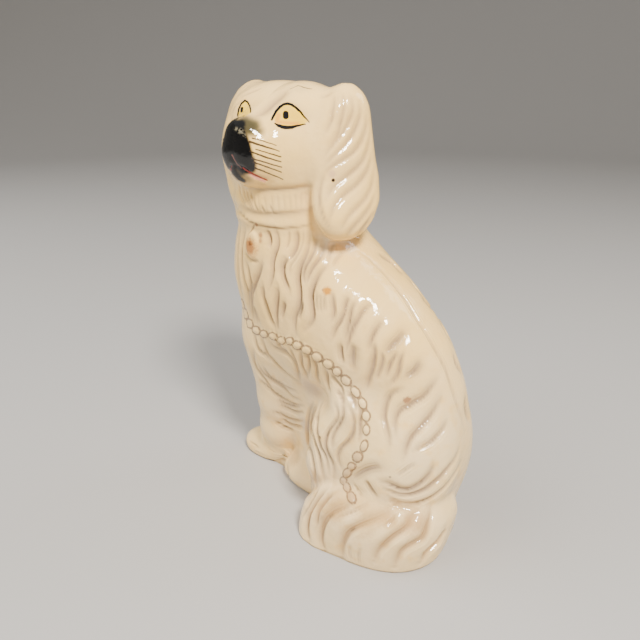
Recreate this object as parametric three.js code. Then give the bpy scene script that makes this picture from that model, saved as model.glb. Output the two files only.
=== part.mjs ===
// Staffordshire spaniel: a seated mantelpiece dog in glazed white earthenware.
//
// Millimetres, +Z up, flat base on z = 0. The dog sits in profile with its chest towards -X and
// its back towards +X. The head is turned a quarter, so that the face looks along -Y, the side
// that is put on show. The form is one smooth blend of simple bodies. It is cut into rings by
// rays from an inner axis, the moulded relief is added along the normals, and the fine mesh is
// then thinned to the faces that the carving needs.

import * as THREE from 'three';

// driving dimensions
const HEIGHT = 330;             // base to crown
const HEAD_X = -38;             // middle plane of the turned head
const CHEST_X = -96;            // furthest reach of the breast
const BACK_X = 105;             // furthest reach of the rump
const DISPLAY_Y = -60;          // breast on the side that is put on show
const REAR_Y = 44;              // flank on the plain side
const HEAD_Z = 291;             // middle of the skull
const HEAD_RADIUS = HEIGHT - HEAD_Z;
const EYE_X = 21;               // eye from the middle plane of the head
const EYE_Z = 311;
const MUZZLE_Y = -60;           // middle of the muzzle's round end
const MUZZLE_WIDE = 0.86;       // how the muzzle's section is drawn out sideways, 1 for round
const BRIDGE_WIDE = 0.72;       // the same for the bridge of the nose above it
const COLLAR_Z = 238;           // lower edge of the smooth collar band
const TAIL_Z = 27;              // middle of the tail roll
const TAIL_RADIUS = 26.2;
const BASE_ROUND = 3;           // rounding where the side meets the flat base

const CHAIN_LINK = 7.2;         // pitch of the links
const CHAIN_WIDTH = 5.2;
const CHAIN_HEIGHT = 1.8;
const LOCK_DEPTH = 1.9;         // valleys between the main locks
const TAIL_PITCH = 15;          // from one twist of the tail to the next
const TAIL_GROOVE = 2.6;

const RINGS = 160;
const TURNS = 192;
const SETTLE = 12;               // rounds of evening out
const FINER = 2;                // each cell of the grid is then cut into this many each way
const FACES = 9600;             // faces kept after thinning

// small helpers
const clamp = (v, a, b) => Math.min(b, Math.max(a, v));
const mix = (a, b, t) => a + (b - a) * t;
const step = (a, b, v) => {
  const t = clamp((v - a) / (b - a), 0, 1);
  return t * t * (3 - 2 * t);
};
const hypot = (x, y, z = 0) => Math.sqrt(x * x + y * y + z * z);
const radians = (deg) => deg * Math.PI / 180;

// blend of two bodies with a fillet of about k
function blend(a, b, k) {
  const h = clamp(0.5 + 0.5 * (b - a) / k, 0, 1);
  return b * (1 - h) + a * h - k * h * (1 - h);
}

// smooth curve through stations: rows are [position, value, value, ...]
function curve(rows, column) {
  const n = rows.length;
  const s = rows.map((r) => r[0]);
  const v = rows.map((r) => r[column]);
  const slope = [];
  for (let i = 0; i < n - 1; i += 1) slope.push((v[i + 1] - v[i]) / (s[i + 1] - s[i]));
  const m = v.map((_, i) => {
    if (i === 0) return slope[0];
    if (i === n - 1) return slope[n - 2];
    const a = slope[i - 1];
    const b = slope[i];
    return a * b > 0 ? 2 * a * b / (a + b) : 0;
  });
  return (at) => {
    let i = 0;
    while (i < n - 2 && at > s[i + 1]) i += 1;
    const h = s[i + 1] - s[i];
    const t = clamp((at - s[i]) / h, 0, 1);
    const t2 = t * t;
    const t3 = t2 * t;
    return (2 * t3 - 3 * t2 + 1) * v[i] + (t3 - 2 * t2 + t) * h * m[i]
      + (3 * t2 - 2 * t3) * v[i + 1] + (t3 - t2) * h * m[i + 1];
  };
}

// simple bodies, each a distance to its skin, negative inside
function egg(x, y, z, c, r) {
  const u = x - c[0];
  const v = y - c[1];
  const w = z - c[2];
  const k0 = hypot(u / r[0], v / r[1], w / r[2]);
  const k1 = hypot(u / (r[0] * r[0]), v / (r[1] * r[1]), w / (r[2] * r[2])) + 1e-9;
  return k0 * (k0 - 1) / k1;
}

// an egg turned about the Y axis
function tiltedEgg(x, y, z, c, r, deg) {
  const s = Math.sin(radians(deg));
  const k = Math.cos(radians(deg));
  const u = x - c[0];
  const w = z - c[2];
  return egg(k * u - s * w, y - c[1], s * u + k * w, [0, 0, 0], r);
}

// round cone from a to b, each [x, y, z, radius]: the distance to the sphere between them
// whose middle lies back from the point's own foot by the slope of the flank
function cone(x, y, z, a, b) {
  const [ux, uy, uz] = [b[0] - a[0], b[1] - a[1], b[2] - a[2]];
  const [px, py, pz] = [x - a[0], y - a[1], z - a[2]];
  const length = hypot(ux, uy, uz);
  const sine = (a[3] - b[3]) / length;
  const foot = (px * ux + py * uy + pz * uz) / length;
  const away = Math.sqrt(Math.max(px * px + py * py + pz * pz - foot * foot, 0));
  const t = clamp((foot - away * sine / Math.sqrt(1 - sine * sine)) / length, 0, 1);
  return hypot(px - t * ux, py - t * uy, pz - t * uz) - mix(a[3], b[3], t);
}

function limb(x, y, z, points, k) {
  let d = cone(x, y, z, points[0], points[1]);
  for (let i = 1; i < points.length - 1; i += 1) {
    const e = cone(x, y, z, points[i], points[i + 1]);
    d = k ? blend(d, e, k) : Math.min(d, e);
  }
  return d;
}

// trunk: rounded sections stacked from base to neck
const TRUNK = [ // height, breast x, back x, display y, rear y
  [-20, -30, 96, -26, 34],
  [0, -40, 98, -28, 36],
  [40, -50, 101, -32, 40],
  [80, -63, 103.5, -36, 42],
  [115, -79, BACK_X, -46, REAR_Y],
  [150, -92, 94, -56, REAR_Y],
  [188, CHEST_X, 62.5, DISPLAY_Y, 41],
  [212, -90, 31.5, -59, 36],
  [230, -83, 12, -57, 31],
  [262, -80, 4, -54, 28],
];
const TRUNK_TOP = 262;
const TRUNK_SECTION = 2.2;      // between an ellipse (2) and a rounded box
const trunkLeft = curve(TRUNK, 1);
const trunkRight = curve(TRUNK, 2);
const trunkFront = curve(TRUNK, 3);
const trunkBack = curve(TRUNK, 4);

function trunk(x, y, z) {
  const x0 = trunkLeft(z);
  const x1 = trunkRight(z);
  const y0 = trunkFront(z);
  const y1 = trunkBack(z);
  const dx = x - (x0 + x1) / 2;
  const dy = y - (y0 + y1) / 2;
  const a = Math.pow(Math.abs(dx) * 2 / (x1 - x0), TRUNK_SECTION);
  const b = Math.pow(Math.abs(dy) * 2 / (y1 - y0), TRUNK_SECTION);
  const k = Math.max(Math.pow(a + b, 1 / TRUNK_SECTION), 1e-3);
  return Math.max(hypot(dx, dy) * (1 - 1 / k) * 0.8, z - TRUNK_TOP);
}

// front legs with their paws, the near one on the display side
const NEAR_LEG = [[-58, -16, 132, 30], [-62, -11, 72, 19], [-66.5, -7, 40, 17.5], [-71, -2, 16, 16]];
const FAR_LEG = [[-52, 14, 114, 25], [-62, 24, 70, 18], [-64, 25, 18, 16]];

function frontLegs(x, y, z) {
  const near = blend(
    limb(x, y, z, NEAR_LEG, 10),
    egg(x, y, z, [-89, -3.5, 6.5], [24.5, 16, 14.5]),
    12,
  );
  const far = blend(
    limb(x, y, z, FAR_LEG, 10),
    egg(x, y, z, [-82, 25, 11], [25, 17, 17]),
    16,
  );
  return blend(near, far, 18);
}

// haunches with the knee, and the hind paws
const KNEE = [[38, -36, 106, 22], [27, -39, 84, 21], [20, -39, 58, 20], [14, -36, 26, 16]];

function hindquarters(x, y, z) {
  let near = tiltedEgg(x, y, z, [60, -18, 68], [50, 42, 66], 12);
  near = blend(near, limb(x, y, z, KNEE, 10), 14);
  near = blend(near, egg(x, y, z, [-19, -18, 10], [32, 15, 15]), 8);
  const far = blend(
    tiltedEgg(x, y, z, [58, 12, 66], [48, 32, 62], 12),
    egg(x, y, z, [-14, 26, 10], [30, 15, 14]),
    10,
  );
  return blend(near, far, 10);
}

// hollows pressed into the skin: under the chain, and in front of the knee
const HOLLOWS = [ // middle x, y, z, reach along x, y, z, depth
  [4, -46, 109, 19, 25, 11, 5],
  [-14, -42, 94, 9, 25, 16, 2.5],
];

function hollows(x, y, z) {
  return HOLLOWS.reduce((sum, [a, b, c, u, v, w, depth]) => {
    const k = ((x - a) / u) ** 2 + ((y - b) / v) ** 2 + ((z - c) / w) ** 2;
    return sum + depth * Math.exp(-k);
  }, 0);
}

// tail: one thick roll lying round the haunch, flat where it rests
const TAIL_STATIONS = [ // way along, x, y, z, radius
  [0, 95, -10, TAIL_Z + 3, 16.5],
  [1, 90, -30, TAIL_Z + 2, 22.5],
  [2, 78, -43, TAIL_Z + 1, 25.2],
  [3, 58, -49, TAIL_Z + 1, TAIL_RADIUS],
  [4, 40, -51, TAIL_Z - 1, 25.2],
  [5, 32, -54, TAIL_Z - 9, 22],
  [6, 23.5, -57.5, TAIL_Z - 14.5, 19],
];
const TAIL_STEPS = 18;
const TAIL_FOOT = 0.45;         // how far the roll draws in below its middle, 1 for a full round
const TAIL = Array.from({ length: TAIL_STEPS + 1 }, (_, i) => {
  const at = 6 * i / TAIL_STEPS;
  return [1, 2, 3, 4].map((column) => curve(TAIL_STATIONS, column)(at));
});

function tail(x, y, z) {
  const low = z < TAIL_Z ? TAIL_Z + (z - TAIL_Z) * TAIL_FOOT : z;
  return limb(x, y, low, TAIL, 3);
}

// head, alike on both sides of its middle plane; q is the distance from that plane
function head(q, y, z) {
  let d = egg(q, y, z, [0, -11, HEAD_Z], [49, 43, HEAD_RADIUS]);
  d = blend(d, egg(q, y, z, [24, -28, 281], [25, 25, 25]), 12);
  d = blend(d, egg(q, y, z, [0, -21, 268], [42, 39, 20]), 10);
  d = blend(d, cone(q * MUZZLE_WIDE, y, z, [0, -32, 286, 29], [0, MUZZLE_Y, 288, 15]), 16);
  d = blend(d, cone(q * BRIDGE_WIDE, y, z, [0, -34, 298, 18], [0, MUZZLE_Y - 2, 298, 10.5]), 8);
  d = blend(d, egg(q, y, z, [6.5, MUZZLE_Y - 2, 285], [11, 10.5, 12]), 12);
  d = blend(d, egg(q, y, z, [0, MUZZLE_Y - 7, 300], [11.5, 8, 8.5]), 5);
  d = blend(d, egg(q, y, z, [0, MUZZLE_Y + 1, 273], [14, 13, 9]), 5);
  d = blend(d, egg(q, y, z, [EYE_X, -37, EYE_Z], [13, 9, 10]), 5);
  d = blend(d, egg(q, y, z, [16, -22, 316], [19, 18, 13]), 10);
  return d;
}

// ears: broad flaps that hang from the crown to the shoulder
const EAR = [ // height, q and y of the middle, half width, half thickness
  [229, 47, -23, 5, 4],
  [232.5, 49, -23, 12, 8],
  [238, 50.5, -23.5, 17.5, 11],
  [246, 51.5, -23.5, 22.5, 13],
  [257, 52, -22.5, 25.6, 13.5],
  [268, 52, -22.5, 25.3, 13.5],
  [282, 51.5, -23.4, 23.3, 13],
  [300, 50.3, -21.7, 20, 12],
  [314, 49.3, -19.7, 17, 11.5],
  [323, 48.3, -17.6, 12, 9.5],
  [328, 46.5, -16, 7, 6.5],
  [331, 46, -15, 1, 1],
];
const EAR_HEM = 230;
const EAR_SECTION = 2.2;        // blunt edges, 2 for an ellipse
const EAR_TURN = radians(20);   // the flap follows the side of the skull
const SHOULDER_PUSH = 9;        // how far the shoulder pushes the near ear's hem out and forward
const FAR_TUCK = 7.5;           // the far ear hangs free and lies closer,
const FAR_HEM_TUCK = 9;         // and its hem closer still
const earQ = curve(EAR, 1);
const earY = curve(EAR, 2);
const earWide = curve(EAR, 3);
const earThick = curve(EAR, 4);

function ear(q, y, z, near) {
  const h = clamp(z, EAR[0][0], EAR[EAR.length - 1][0]);
  const push = near ? SHOULDER_PUSH * step(276, 230, z) : 0;
  const dq = q - earQ(h) - push + (near ? 0 : FAR_TUCK + FAR_HEM_TUCK * step(278, 232, z));
  const dy = y - earY(h) + push;
  const across = Math.sin(EAR_TURN) * dq + Math.cos(EAR_TURN) * dy;
  const out = Math.cos(EAR_TURN) * dq - Math.sin(EAR_TURN) * dy;
  const a = Math.abs(across / earWide(h)) ** EAR_SECTION;
  const b = Math.abs(out / earThick(h)) ** EAR_SECTION;
  const k = (a + b) ** (1 / EAR_SECTION);
  const d = k < 0.3 ? -earThick(h) * 0.5 : hypot(across, out) * (1 - 1 / k) * 0.6;
  return Math.max(d, z - HEIGHT, EAR_HEM - z);
}

// the whole dog, with the ruff of fur between jaw and shoulders
const RUFF = [48, 47, 18];
const COLLAR_BAND = [47, 45.5, 10];

function dog(x, y, z) {
  const q = Math.abs(x - HEAD_X);
  let d = trunk(x, y, z);
  if (z < 190) {
    d = blend(d, frontLegs(x, y, z), 16);
    d = blend(d, hindquarters(x, y, z), 12) + hollows(x, y, z);
    d = blend(d, tail(x, y, z), 4);
  }
  if (z > 180) {
    let top = blend(head(q, y, z), egg(x, y, z, [HEAD_X, -13, 250], RUFF), 10);
    top = blend(top, egg(x, y, z, [HEAD_X, -13, 238], COLLAR_BAND), 5);
    top = blend(top, ear(q, y, z, x > HEAD_X), 4 + 9 * step(262, 318, z));
    const lap = step(HEAD_X + 25, HEAD_X + 45, x) * step(252, 240, z);
    d = blend(d, top, 5 + 5 * lap);
  }
  return -blend(-d, z, BASE_ROUND);
}

function slope(x, y, z) {
  const h = 0.4;
  const a = dog(x + h, y - h, z - h);
  const b = dog(x - h, y - h, z + h);
  const c = dog(x - h, y + h, z - h);
  const e = dog(x + h, y + h, z + h);
  return [(a - b - c + e) / (4 * h), (-a - b + c + e) / (4 * h), (-a + b - c + e) / (4 * h)];
}

// rings: rays from an inner axis, each followed inwards to the skin
const AXIS = [ // height, x, y, half length of the axis along X
  [0, 18, -12, 56],
  [60, 18, -9, 48],
  [120, 8, -8, 36],
  [180, -10, -8, 20],
  [225, -34, -11, 1],
  [300, HEAD_X, -14, 0],
];
const RING = [ // share of the rings, height aimed at, elevation in degrees above the neck
  [0, 0, 0],
  [0.1, 14, 0],
  [0.3, 84, 0],
  [0.52, 188, 0],
  [0.66, 236, -6],
  [0.74, 262, 0],
  [0.82, 282, 8],
  [0.9, 296, 35],
  [1, 300, 90],
];
const axisX = curve(AXIS, 1);
const axisY = curve(AXIS, 2);
const axisLong = curve(AXIS, 3);
const ringHeight = curve(RING, 1);
const ringRise = curve(RING, 2);
const OUTSIDE = 180;            // every ray starts this far out
const LOOK_DOWN = 34;           // how far above its aim a low ray starts
const LOOK_DOWN_TO = 170;

function follow(o, v) {
  let r = OUTSIDE;
  for (let i = 0; i < 70; i += 1) {
    const d = dog(o[0] + v[0] * r, o[1] + v[1] * r, o[2] + v[2] * r);
    if (Math.abs(d) < 0.01) break;
    r = Math.max(r - 0.85 * d, 0.5);
  }
  return r;
}

function ringPoints() {
  const grid = [];
  const rim = [];
  for (let i = 0; i < RINGS; i += 1) {
    const share = i / (RINGS - 1);
    const aim = Math.max(ringHeight(share), 0.8);
    const row = [];
    for (let j = 0; j < TURNS; j += 1) {
      const turn = 2 * Math.PI * j / TURNS;
      const c = Math.cos(turn);
      const s = Math.sin(turn);
      const lift = i === 0 ? 0 : LOOK_DOWN * Math.max(1 - aim / LOOK_DOWN_TO, 0);
      const o = [axisX(aim) + axisLong(aim) * c, axisY(aim), aim + lift];
      const fall = i === 0 ? 0 : -Math.atan2(lift, rim[j]);
      const rise = radians(ringRise(share)) + fall;
      const v = [Math.cos(rise) * c, Math.cos(rise) * s, Math.sin(rise)];
      const r = follow(o, v);
      if (i === 0) rim.push(r);
      row.push([o[0] + v[0] * r, o[1] + v[1] * r, i === 0 ? 0 : o[2] + v[2] * r]);
    }
    grid.push(row);
  }
  return grid;
}

// draw a point onto the skin
function press(p, rounds) {
  let q = p;
  for (let m = 0; m < rounds; m += 1) {
    const g = slope(...q);
    const n2 = g[0] * g[0] + g[1] * g[1] + g[2] * g[2] + 1e-6;
    const t = clamp(dog(...q) / n2, -3, 3);
    q = [q[0] - t * g[0], q[1] - t * g[1], Math.max(q[2] - t * g[2], 0.05)];
  }
  return q;
}

// even out the grid, keeping it on the skin
function settle(grid, rounds) {
  let rows = grid;
  const last = grid.length - 1;
  for (let k = 0; k < rounds; k += 1) {
    rows = rows.map((row, i) => row.map((p, j) => {
      if (i === last) return p;
      const a = row[(j + 1) % TURNS];
      const b = row[(j + TURNS - 1) % TURNS];
      if (i === 0) return p.map((v, n) => 0.5 * v + 0.25 * (a[n] + b[n]));
      const c = rows[i - 1][j];
      const e = rows[i + 1][j];
      return press(p.map((v, n) => 0.4 * v + 0.15 * (a[n] + b[n] + c[n] + e[n])), 2);
    }));
  }
  return rows;
}

// cut every cell into smaller ones along smooth curves through the grid
function refine(grid) {
  const cubic = (a, b, c, d, t) => b.map((v, n) => v + 0.5 * t * (c[n] - a[n]
    + t * (2 * a[n] - 5 * v + 4 * c[n] - d[n] + t * (3 * (v - c[n]) + d[n] - a[n]))));
  const along = (list, closed) => {
    const n = list.length;
    const at = (i) => (closed ? list[(i + n) % n] : list[clamp(i, 0, n - 1)]);
    const out = [];
    for (let i = 0; i < (closed ? n : n - 1); i += 1) {
      for (let k = 0; k < FINER; k += 1) {
        out.push(cubic(at(i - 1), at(i), at(i + 1), at(i + 2), k / FINER));
      }
    }
    if (!closed) out.push(list[n - 1]);
    return out;
  };
  const wide = grid.map((row) => along(row, true));
  const columns = wide[0].map((_, j) => along(wide.map((row) => row[j]), false));
  return columns[0].map((_, i) => columns.map((column, j) => {
    const p = column[i];
    if (i === 0) return [p[0], p[1], 0];
    return i === columns[0].length - 1 ? p : press(p, 2);
  }));
}

// marks: lines cut into the skin or raised on it
const marks = [];

// where a ray from far off along the direction v, aimed at o, meets the skin
function meet(o, v, from = 150) {
  let r = from;
  for (let i = 0; i < 60; i += 1) {
    const d = dog(o[0] + v[0] * r, o[1] + v[1] * r, o[2] + v[2] * r);
    if (Math.abs(d) < 0.02) break;
    r -= 0.85 * d;
  }
  return [o[0] + v[0] * r, o[1] + v[1] * r, o[2] + v[2] * r];
}

// smooth line through points of any number of numbers
function spline(points, count) {
  const n = points.length;
  const at = (i) => points[clamp(i, 0, n - 1)];
  return Array.from({ length: count + 1 }, (_, k) => {
    const s = (n - 1) * k / count;
    const i = Math.min(Math.floor(s), n - 2);
    const t = s - i;
    const [a, b, c, d] = [at(i - 1), at(i), at(i + 1), at(i + 2)];
    return b.map((v, m) => v + 0.5 * t * (c[m] - a[m]
      + t * (2 * a[m] - 5 * v + 4 * c[m] - d[m] + t * (3 * (v - c[m]) + d[m] - a[m]))));
  });
}

// cut (depth above 0) or raise (below 0) a line, fading to both ends when it tapers
function mark(points, reach, depth, tapers = true) {
  points.forEach((p, i) => {
    const t = i / (points.length - 1);
    const fade = tapers ? Math.pow(Math.sin(Math.PI * clamp(t, 0.02, 0.98)), 0.6) : 1;
    marks.push({ p, reach, depth: depth * fade });
  });
}

const DISPLAY = [0, -1, 0];
const REAR = [0, 1, 0];

// a line given as [x, z] on the display side, or on the rear
const onSide = (line, side) => line.map(([x, z]) => meet([x, 0, z], side));

// locks of hair: the valleys between line a and line b, count of them, each [x, z]
function locks(a, b, count, side = DISPLAY, depth = LOCK_DEPTH) {
  const spread = hypot(a[1][0] - b[1][0], a[1][1] - b[1][1]) / (count - 1);
  const reach = clamp(spread * 0.55, 2.4, 5.5);
  for (let k = 0; k < count; k += 1) {
    const t = k / (count - 1);
    const late = 4 * (k % 2);
    const line = a.map((p, i) => [
      mix(p[0], b[i][0], t) + 1.5 * Math.sin(2.4 * i + 1.7 * k),
      mix(p[1], b[i][1], t) - late * (i === 0 || i === a.length - 1 ? 1 : 0),
    ]);
    mark(onSide(spline(line, 60), side), reach, depth);
  }
}

// coat on the display side: each pair of lines bounds one sweep of locks
locks([[-71, 224], [-75, 200], [-71, 176], [-64, 156]],
  [[-36, 226], [-40, 196], [-37, 178], [-29, 162]], 6);
locks([[-31, 230], [-35, 212], [-33, 194], [-24, 178], [-22, 166]],
  [[3, 233], [2, 218], [-2, 204], [5, 190], [8, 178]], 6);
locks([[6, 232], [8, 218], [5, 205], [9, 192]],
  [[30, 219], [24, 208], [17, 196], [18, 184]], 4);
locks([[-28, 186], [-35, 172], [-30, 158]], [[-2, 186], [-7, 170], [-3, 158]], 4);
locks([[15, 190], [15, 178], [8, 166], [2, 158]], [[48, 193], [43, 178], [39, 163], [40, 146]], 6);
locks([[54, 190], [51, 174], [50, 158], [50, 138]], [[72, 170], [70, 158], [68, 144], [64, 126]], 4);
locks([[82, 162], [77, 151], [70, 139], [66, 122]], [[103, 122], [97, 115], [90, 106], [86, 92]], 5);
locks([[107, 112], [101, 104], [92, 96], [86, 84]], [[110, 96], [104, 90], [95, 85], [86, 78]], 2);
locks([[78, 74], [89, 67], [102, 70], [108, 85]], [[80, 61], [90, 53], [104, 58], [109, 75]], 4);

// knee: locks in the shape of an S
locks([[12, 108], [5, 86], [10, 66], [25, 52]], [[38, 124], [50, 104], [41, 82], [37, 60]], 7, DISPLAY, 2.4);

// front leg: feathering that sweeps back from the shoulder, then the fur under the chain
locks([[-58, 140], [-46, 127], [-32, 117], [-12, 114]],
  [[-66, 88], [-53, 76], [-37, 69], [-18, 74]], 7);
locks([[-32, 150], [-24, 136], [-14, 122]], [[30, 138], [33, 126], [36, 112]], 7, DISPLAY, 1.5);

// plain side: fewer, softer waves
locks([[-72, 216], [-76, 184], [-70, 152]], [[2, 216], [10, 184], [10, 152]], 7, REAR, 1.2);
locks([[22, 205], [32, 174], [30, 142]], [[82, 158], [96, 124], [98, 96]], 7, REAR, 1.2);
locks([[14, 138], [22, 108], [12, 80]], [[98, 92], [101, 66], [92, 40]], 7, REAR, 1.2);

// back beside the spine, on the display side: soft waves that slant down and back
const SPINE_SIDE = [0.8, -0.6, 0];
locks([[46, 214], [60, 200], [70, 182]], [[92, 160], [101, 138], [104, 112]], 7, SPINE_SIDE, 0.9);

// breast, seen edge-on from the display side: locks that hang straight
const BREAST_TURNS = [158, 168, 178, 188, 198];   // degrees about the neck, 180 is -X
BREAST_TURNS.forEach((turn, k) => {
  const v = [Math.cos(radians(turn)), Math.sin(radians(turn)), 0];
  const line = Array.from({ length: 80 }, (_, i) => {
    const z = 226 - 0.9 * i - 3 * (k % 2);
    const sway = 2.2 * Math.sin(z / 9 + k);
    return meet([-20 - v[1] * sway, -8 + v[0] * sway, z], v);
  });
  mark(line, 4, LOCK_DEPTH * 0.8);
});

// chain: from the breast along the shoulder, down over the haunch to the tail
const CHAIN_ROUTE = [
  [-78, 192], [-77, 176], [-71, 163], [-60, 153], [-40, 151], [-16, 152], [7, 153],
  [26, 146], [40, 135], [51, 120], [59, 104], [60, 92], [56, 82], [50, 72], [46, 62],
  [48, 54], [55, 49],
];
const links = [];

function chain() {
  const fine = onSide(spline(CHAIN_ROUTE, 400), DISPLAY);
  let travelled = CHAIN_LINK;
  for (let i = 1; i < fine.length - 1; i += 1) {
    const back = fine[i].map((v, n) => v - fine[i - 1][n]);
    travelled += hypot(...back);
    if (travelled >= CHAIN_LINK) {
      travelled -= CHAIN_LINK;
      const run = new THREE.Vector3(...fine[i + 1].map((v, n) => v - fine[i - 1][n])).normalize();
      const up = new THREE.Vector3(...slope(...fine[i])).normalize();
      const wide = new THREE.Vector3().crossVectors(up, run).normalize();
      links.push({ p: fine[i], run: run.toArray(), wide: wide.toArray() });
    }
  }
}
chain();

// collar edge, pendant, and the lines of the face
const COLLAR = Array.from({ length: 361 }, (_, i) => {
  const turn = radians(i);
  const v = [Math.cos(turn), Math.sin(turn), 0];
  return meet([HEAD_X, -13, COLLAR_Z - 1 + 3 * Math.sin(turn)], v, 90);
});
mark(COLLAR, 2.4, 0.9, false);
const PENDANT = { x: -43, z: 222, wide: 6.5, high: 9, raise: 1.8 };

for (const side of [-1, 1]) {
  const face = (line) => onSide(line.map(([q, z]) => [HEAD_X + side * q, z]), DISPLAY);
  mark(face(spline([[0, 287], [5, 281], [10, 276], [15, 272], [20, 270]], 40)), 2.6, 2);
  mark(face(spline([[5, 303], [6.5, 301]], 3)), 3, 1.6, false);
  mark(face(spline([[EYE_X - 13, 307], [EYE_X, 301.5], [EYE_X + 12, 308]], 40)), 2.4, 0.8);
  mark(face(spline([[EYE_X - 13, 308], [EYE_X - 2, 320.5], [EYE_X + 13, 308]], 40)), 2.4, 0.8);
}
mark(onSide(spline([[HEAD_X, 305], [HEAD_X, 314], [HEAD_X, 327]], 40), DISPLAY), 9, 3);

// ears: hair that sweeps forward and down, given as [across the flap, height]
const EAR_SWEEPS = [
  [[[-17, 318], [-20, 309], [-19, 301], [-22, 292]], [[9, 308], [9, 296], [1, 286], [-18, 276]], 5],
  [[[14, 306], [13, 292], [4, 281], [-14, 270]], [[21, 282], [15, 270], [3, 263], [-12, 256]], 3],
  [[[21, 268], [9, 261], [-7, 254], [-18, 241]], [[22, 248], [13, 240], [3, 234], [-6, 226]], 3],
];
for (const side of [-1, 1]) {
  const out = [side * Math.cos(EAR_TURN), -Math.sin(EAR_TURN), 0];
  for (const [a, b, count] of EAR_SWEEPS) {
    for (let k = 0; k < count; k += 1) {
      const t = k / (count - 1);
      const sway = 2 * Math.sin(3 * k);
      const line = spline(a.map((p, i) => [
        mix(p[0], b[i][0], t) + (i % 2 ? sway : 0),
        mix(p[1], b[i][1], t),
      ]), 60);
      mark(line.map(([across, z]) => meet([
        HEAD_X + side * (earQ(z) + Math.sin(EAR_TURN) * across),
        earY(z) + Math.cos(EAR_TURN) * across,
        z,
      ], out, 60)), 4.6, 1.7);
    }
  }
}

// toes
const PAWS = [[-84, -14, 11], [-82, 25, 11], [-20, -20, 10]];
PAWS.forEach((paw, n) => {
  const from = n < 2 ? 60 : 32;
  for (const turn of n < 2 ? [155, 180, 205] : [200, 225]) {
    const line = Array.from({ length: 12 }, (_, i) => {
      const rise = radians(36 - 3 * i);
      const c = Math.cos(rise);
      const v = [c * Math.cos(radians(turn)), c * Math.sin(radians(turn)), Math.sin(rise)];
      return meet(paw, v, from);
    });
    mark(line, 3.4, 2.2);
  }
});

// relief at a point of the skin
const CELL = 6;
const nearMarks = new Map();
const cellKey = (a, b, c) => (a * 512 + b) * 512 + c;
const cellOf = (p) => p.map((v) => Math.floor(v / CELL) + 128);
marks.forEach((m) => {
  const [a, b, c] = cellOf(m.p);
  const key = cellKey(a, b, c);
  if (!nearMarks.has(key)) nearMarks.set(key, []);
  nearMarks.get(key).push(m);
});

function cutAndRaised(p) {
  const [a, b, c] = cellOf(p);
  let cut = 0;
  for (let i = a - 1; i <= a + 1; i += 1) {
    for (let j = b - 1; j <= b + 1; j += 1) {
      for (let k = c - 1; k <= c + 1; k += 1) {
        for (const m of nearMarks.get(cellKey(i, j, k)) ?? []) {
          const t = hypot(p[0] - m.p[0], p[1] - m.p[1], p[2] - m.p[2]) / m.reach;
          if (t < 1) cut = Math.max(cut, m.depth * Math.cos(Math.PI * t / 2) ** 2);
        }
      }
    }
  }
  return cut;
}

function linkHeight(p) {
  let best = 0;
  for (const link of links) {
    const d = p.map((v, n) => v - link.p[n]);
    if (Math.abs(d[0]) + Math.abs(d[2]) > 12) continue;
    const a = (d[0] * link.run[0] + d[1] * link.run[1] + d[2] * link.run[2]) / (CHAIN_LINK * 0.52);
    const b = (d[0] * link.wide[0] + d[1] * link.wide[1] + d[2] * link.wide[2]) / (CHAIN_WIDTH / 2);
    const t = a * a + b * b;
    if (t < 1 && Math.abs(d[1]) < 8) best = Math.max(best, CHAIN_HEIGHT * Math.sqrt(1 - t));
  }
  return best;
}

// twists of the tail: they lean forward over the top of the roll and hang straight below
function tailGroove(p) {
  const [x, y, z] = p;
  const skin = tail(x, y, z);
  if (skin > 2.5 || z > 60) return 0;
  const lean = mix(0.35, 1.15, step(25, 75, x));
  const along = (x - 6) * 0.95 - lean * Math.max(z - 20, 0) + Math.max(-y - 10, 0) * 0.05
    + Math.max(x - 88, 0) * Math.max(y + 45, 0) * 0.03;
  const wave = 0.5 - 0.5 * Math.cos(2 * Math.PI * along / TAIL_PITCH);
  const fade = step(2.5, 0.5, skin) * step(0, 8, z);
  return TAIL_GROOVE * fade * Math.pow(wave, 3);
}

// short upright strands of the ruff between jaw and collar
function ruffStrand(p) {
  const x = p[0] - HEAD_X;
  const y = p[1] + 13;
  if (p[2] < 243 || p[2] > 263) return 0;
  if (hypot(x, y) > 52 || ear(Math.abs(x), p[1], p[2], x > 0) < 2) return 0;
  const wave = 0.5 - 0.5 * Math.cos(Math.atan2(y, x) * 40);
  return 0.9 * wave * step(243, 246, p[2]) * step(263, 256, p[2]);
}

function relief(p) {
  const link = linkHeight(p);
  const a = (p[0] - PENDANT.x) / PENDANT.wide;
  const b = (p[2] - PENDANT.z) / PENDANT.high;
  if (a * a + b * b < 1 && p[1] < -40) return PENDANT.raise * Math.sqrt(1 - a * a - b * b);
  if (link > 0) return link;
  return -Math.max(cutAndRaised(p), tailGroove(p), ruffStrand(p));
}

// fine mesh: the rings with their relief, a flat base and a closed crown
function carve(p) {
  const n = slope(...p);
  const size = hypot(...n);
  const rise = relief(p);
  return p.map((v, i) => v + n[i] / size * rise);
}

function fineMesh() {
  const grid = refine(settle(ringPoints(), SETTLE));
  const turns = grid[0].length;
  const body = grid.slice(0, -1).map((row, i) => (i === 0 ? row : row.map(carve)));
  const points = body.flat();
  const crown = points.push(carve(grid[grid.length - 1][0])) - 1;
  const middle = points.push([axisX(0), axisY(0), 0]) - 1;
  const faces = [];
  body.forEach((row, i) => row.forEach((_, j) => {
    const next = (j + 1) % turns;
    const a = i * turns + j;
    const b = i * turns + next;
    if (i === 0) faces.push([middle, b, a]);
    if (i === body.length - 1) {
      faces.push([a, b, crown]);
    } else {
      faces.push([a, b, b + turns], [a, b + turns, a + turns]);
    }
  }));
  return { points, faces };
}

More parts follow.
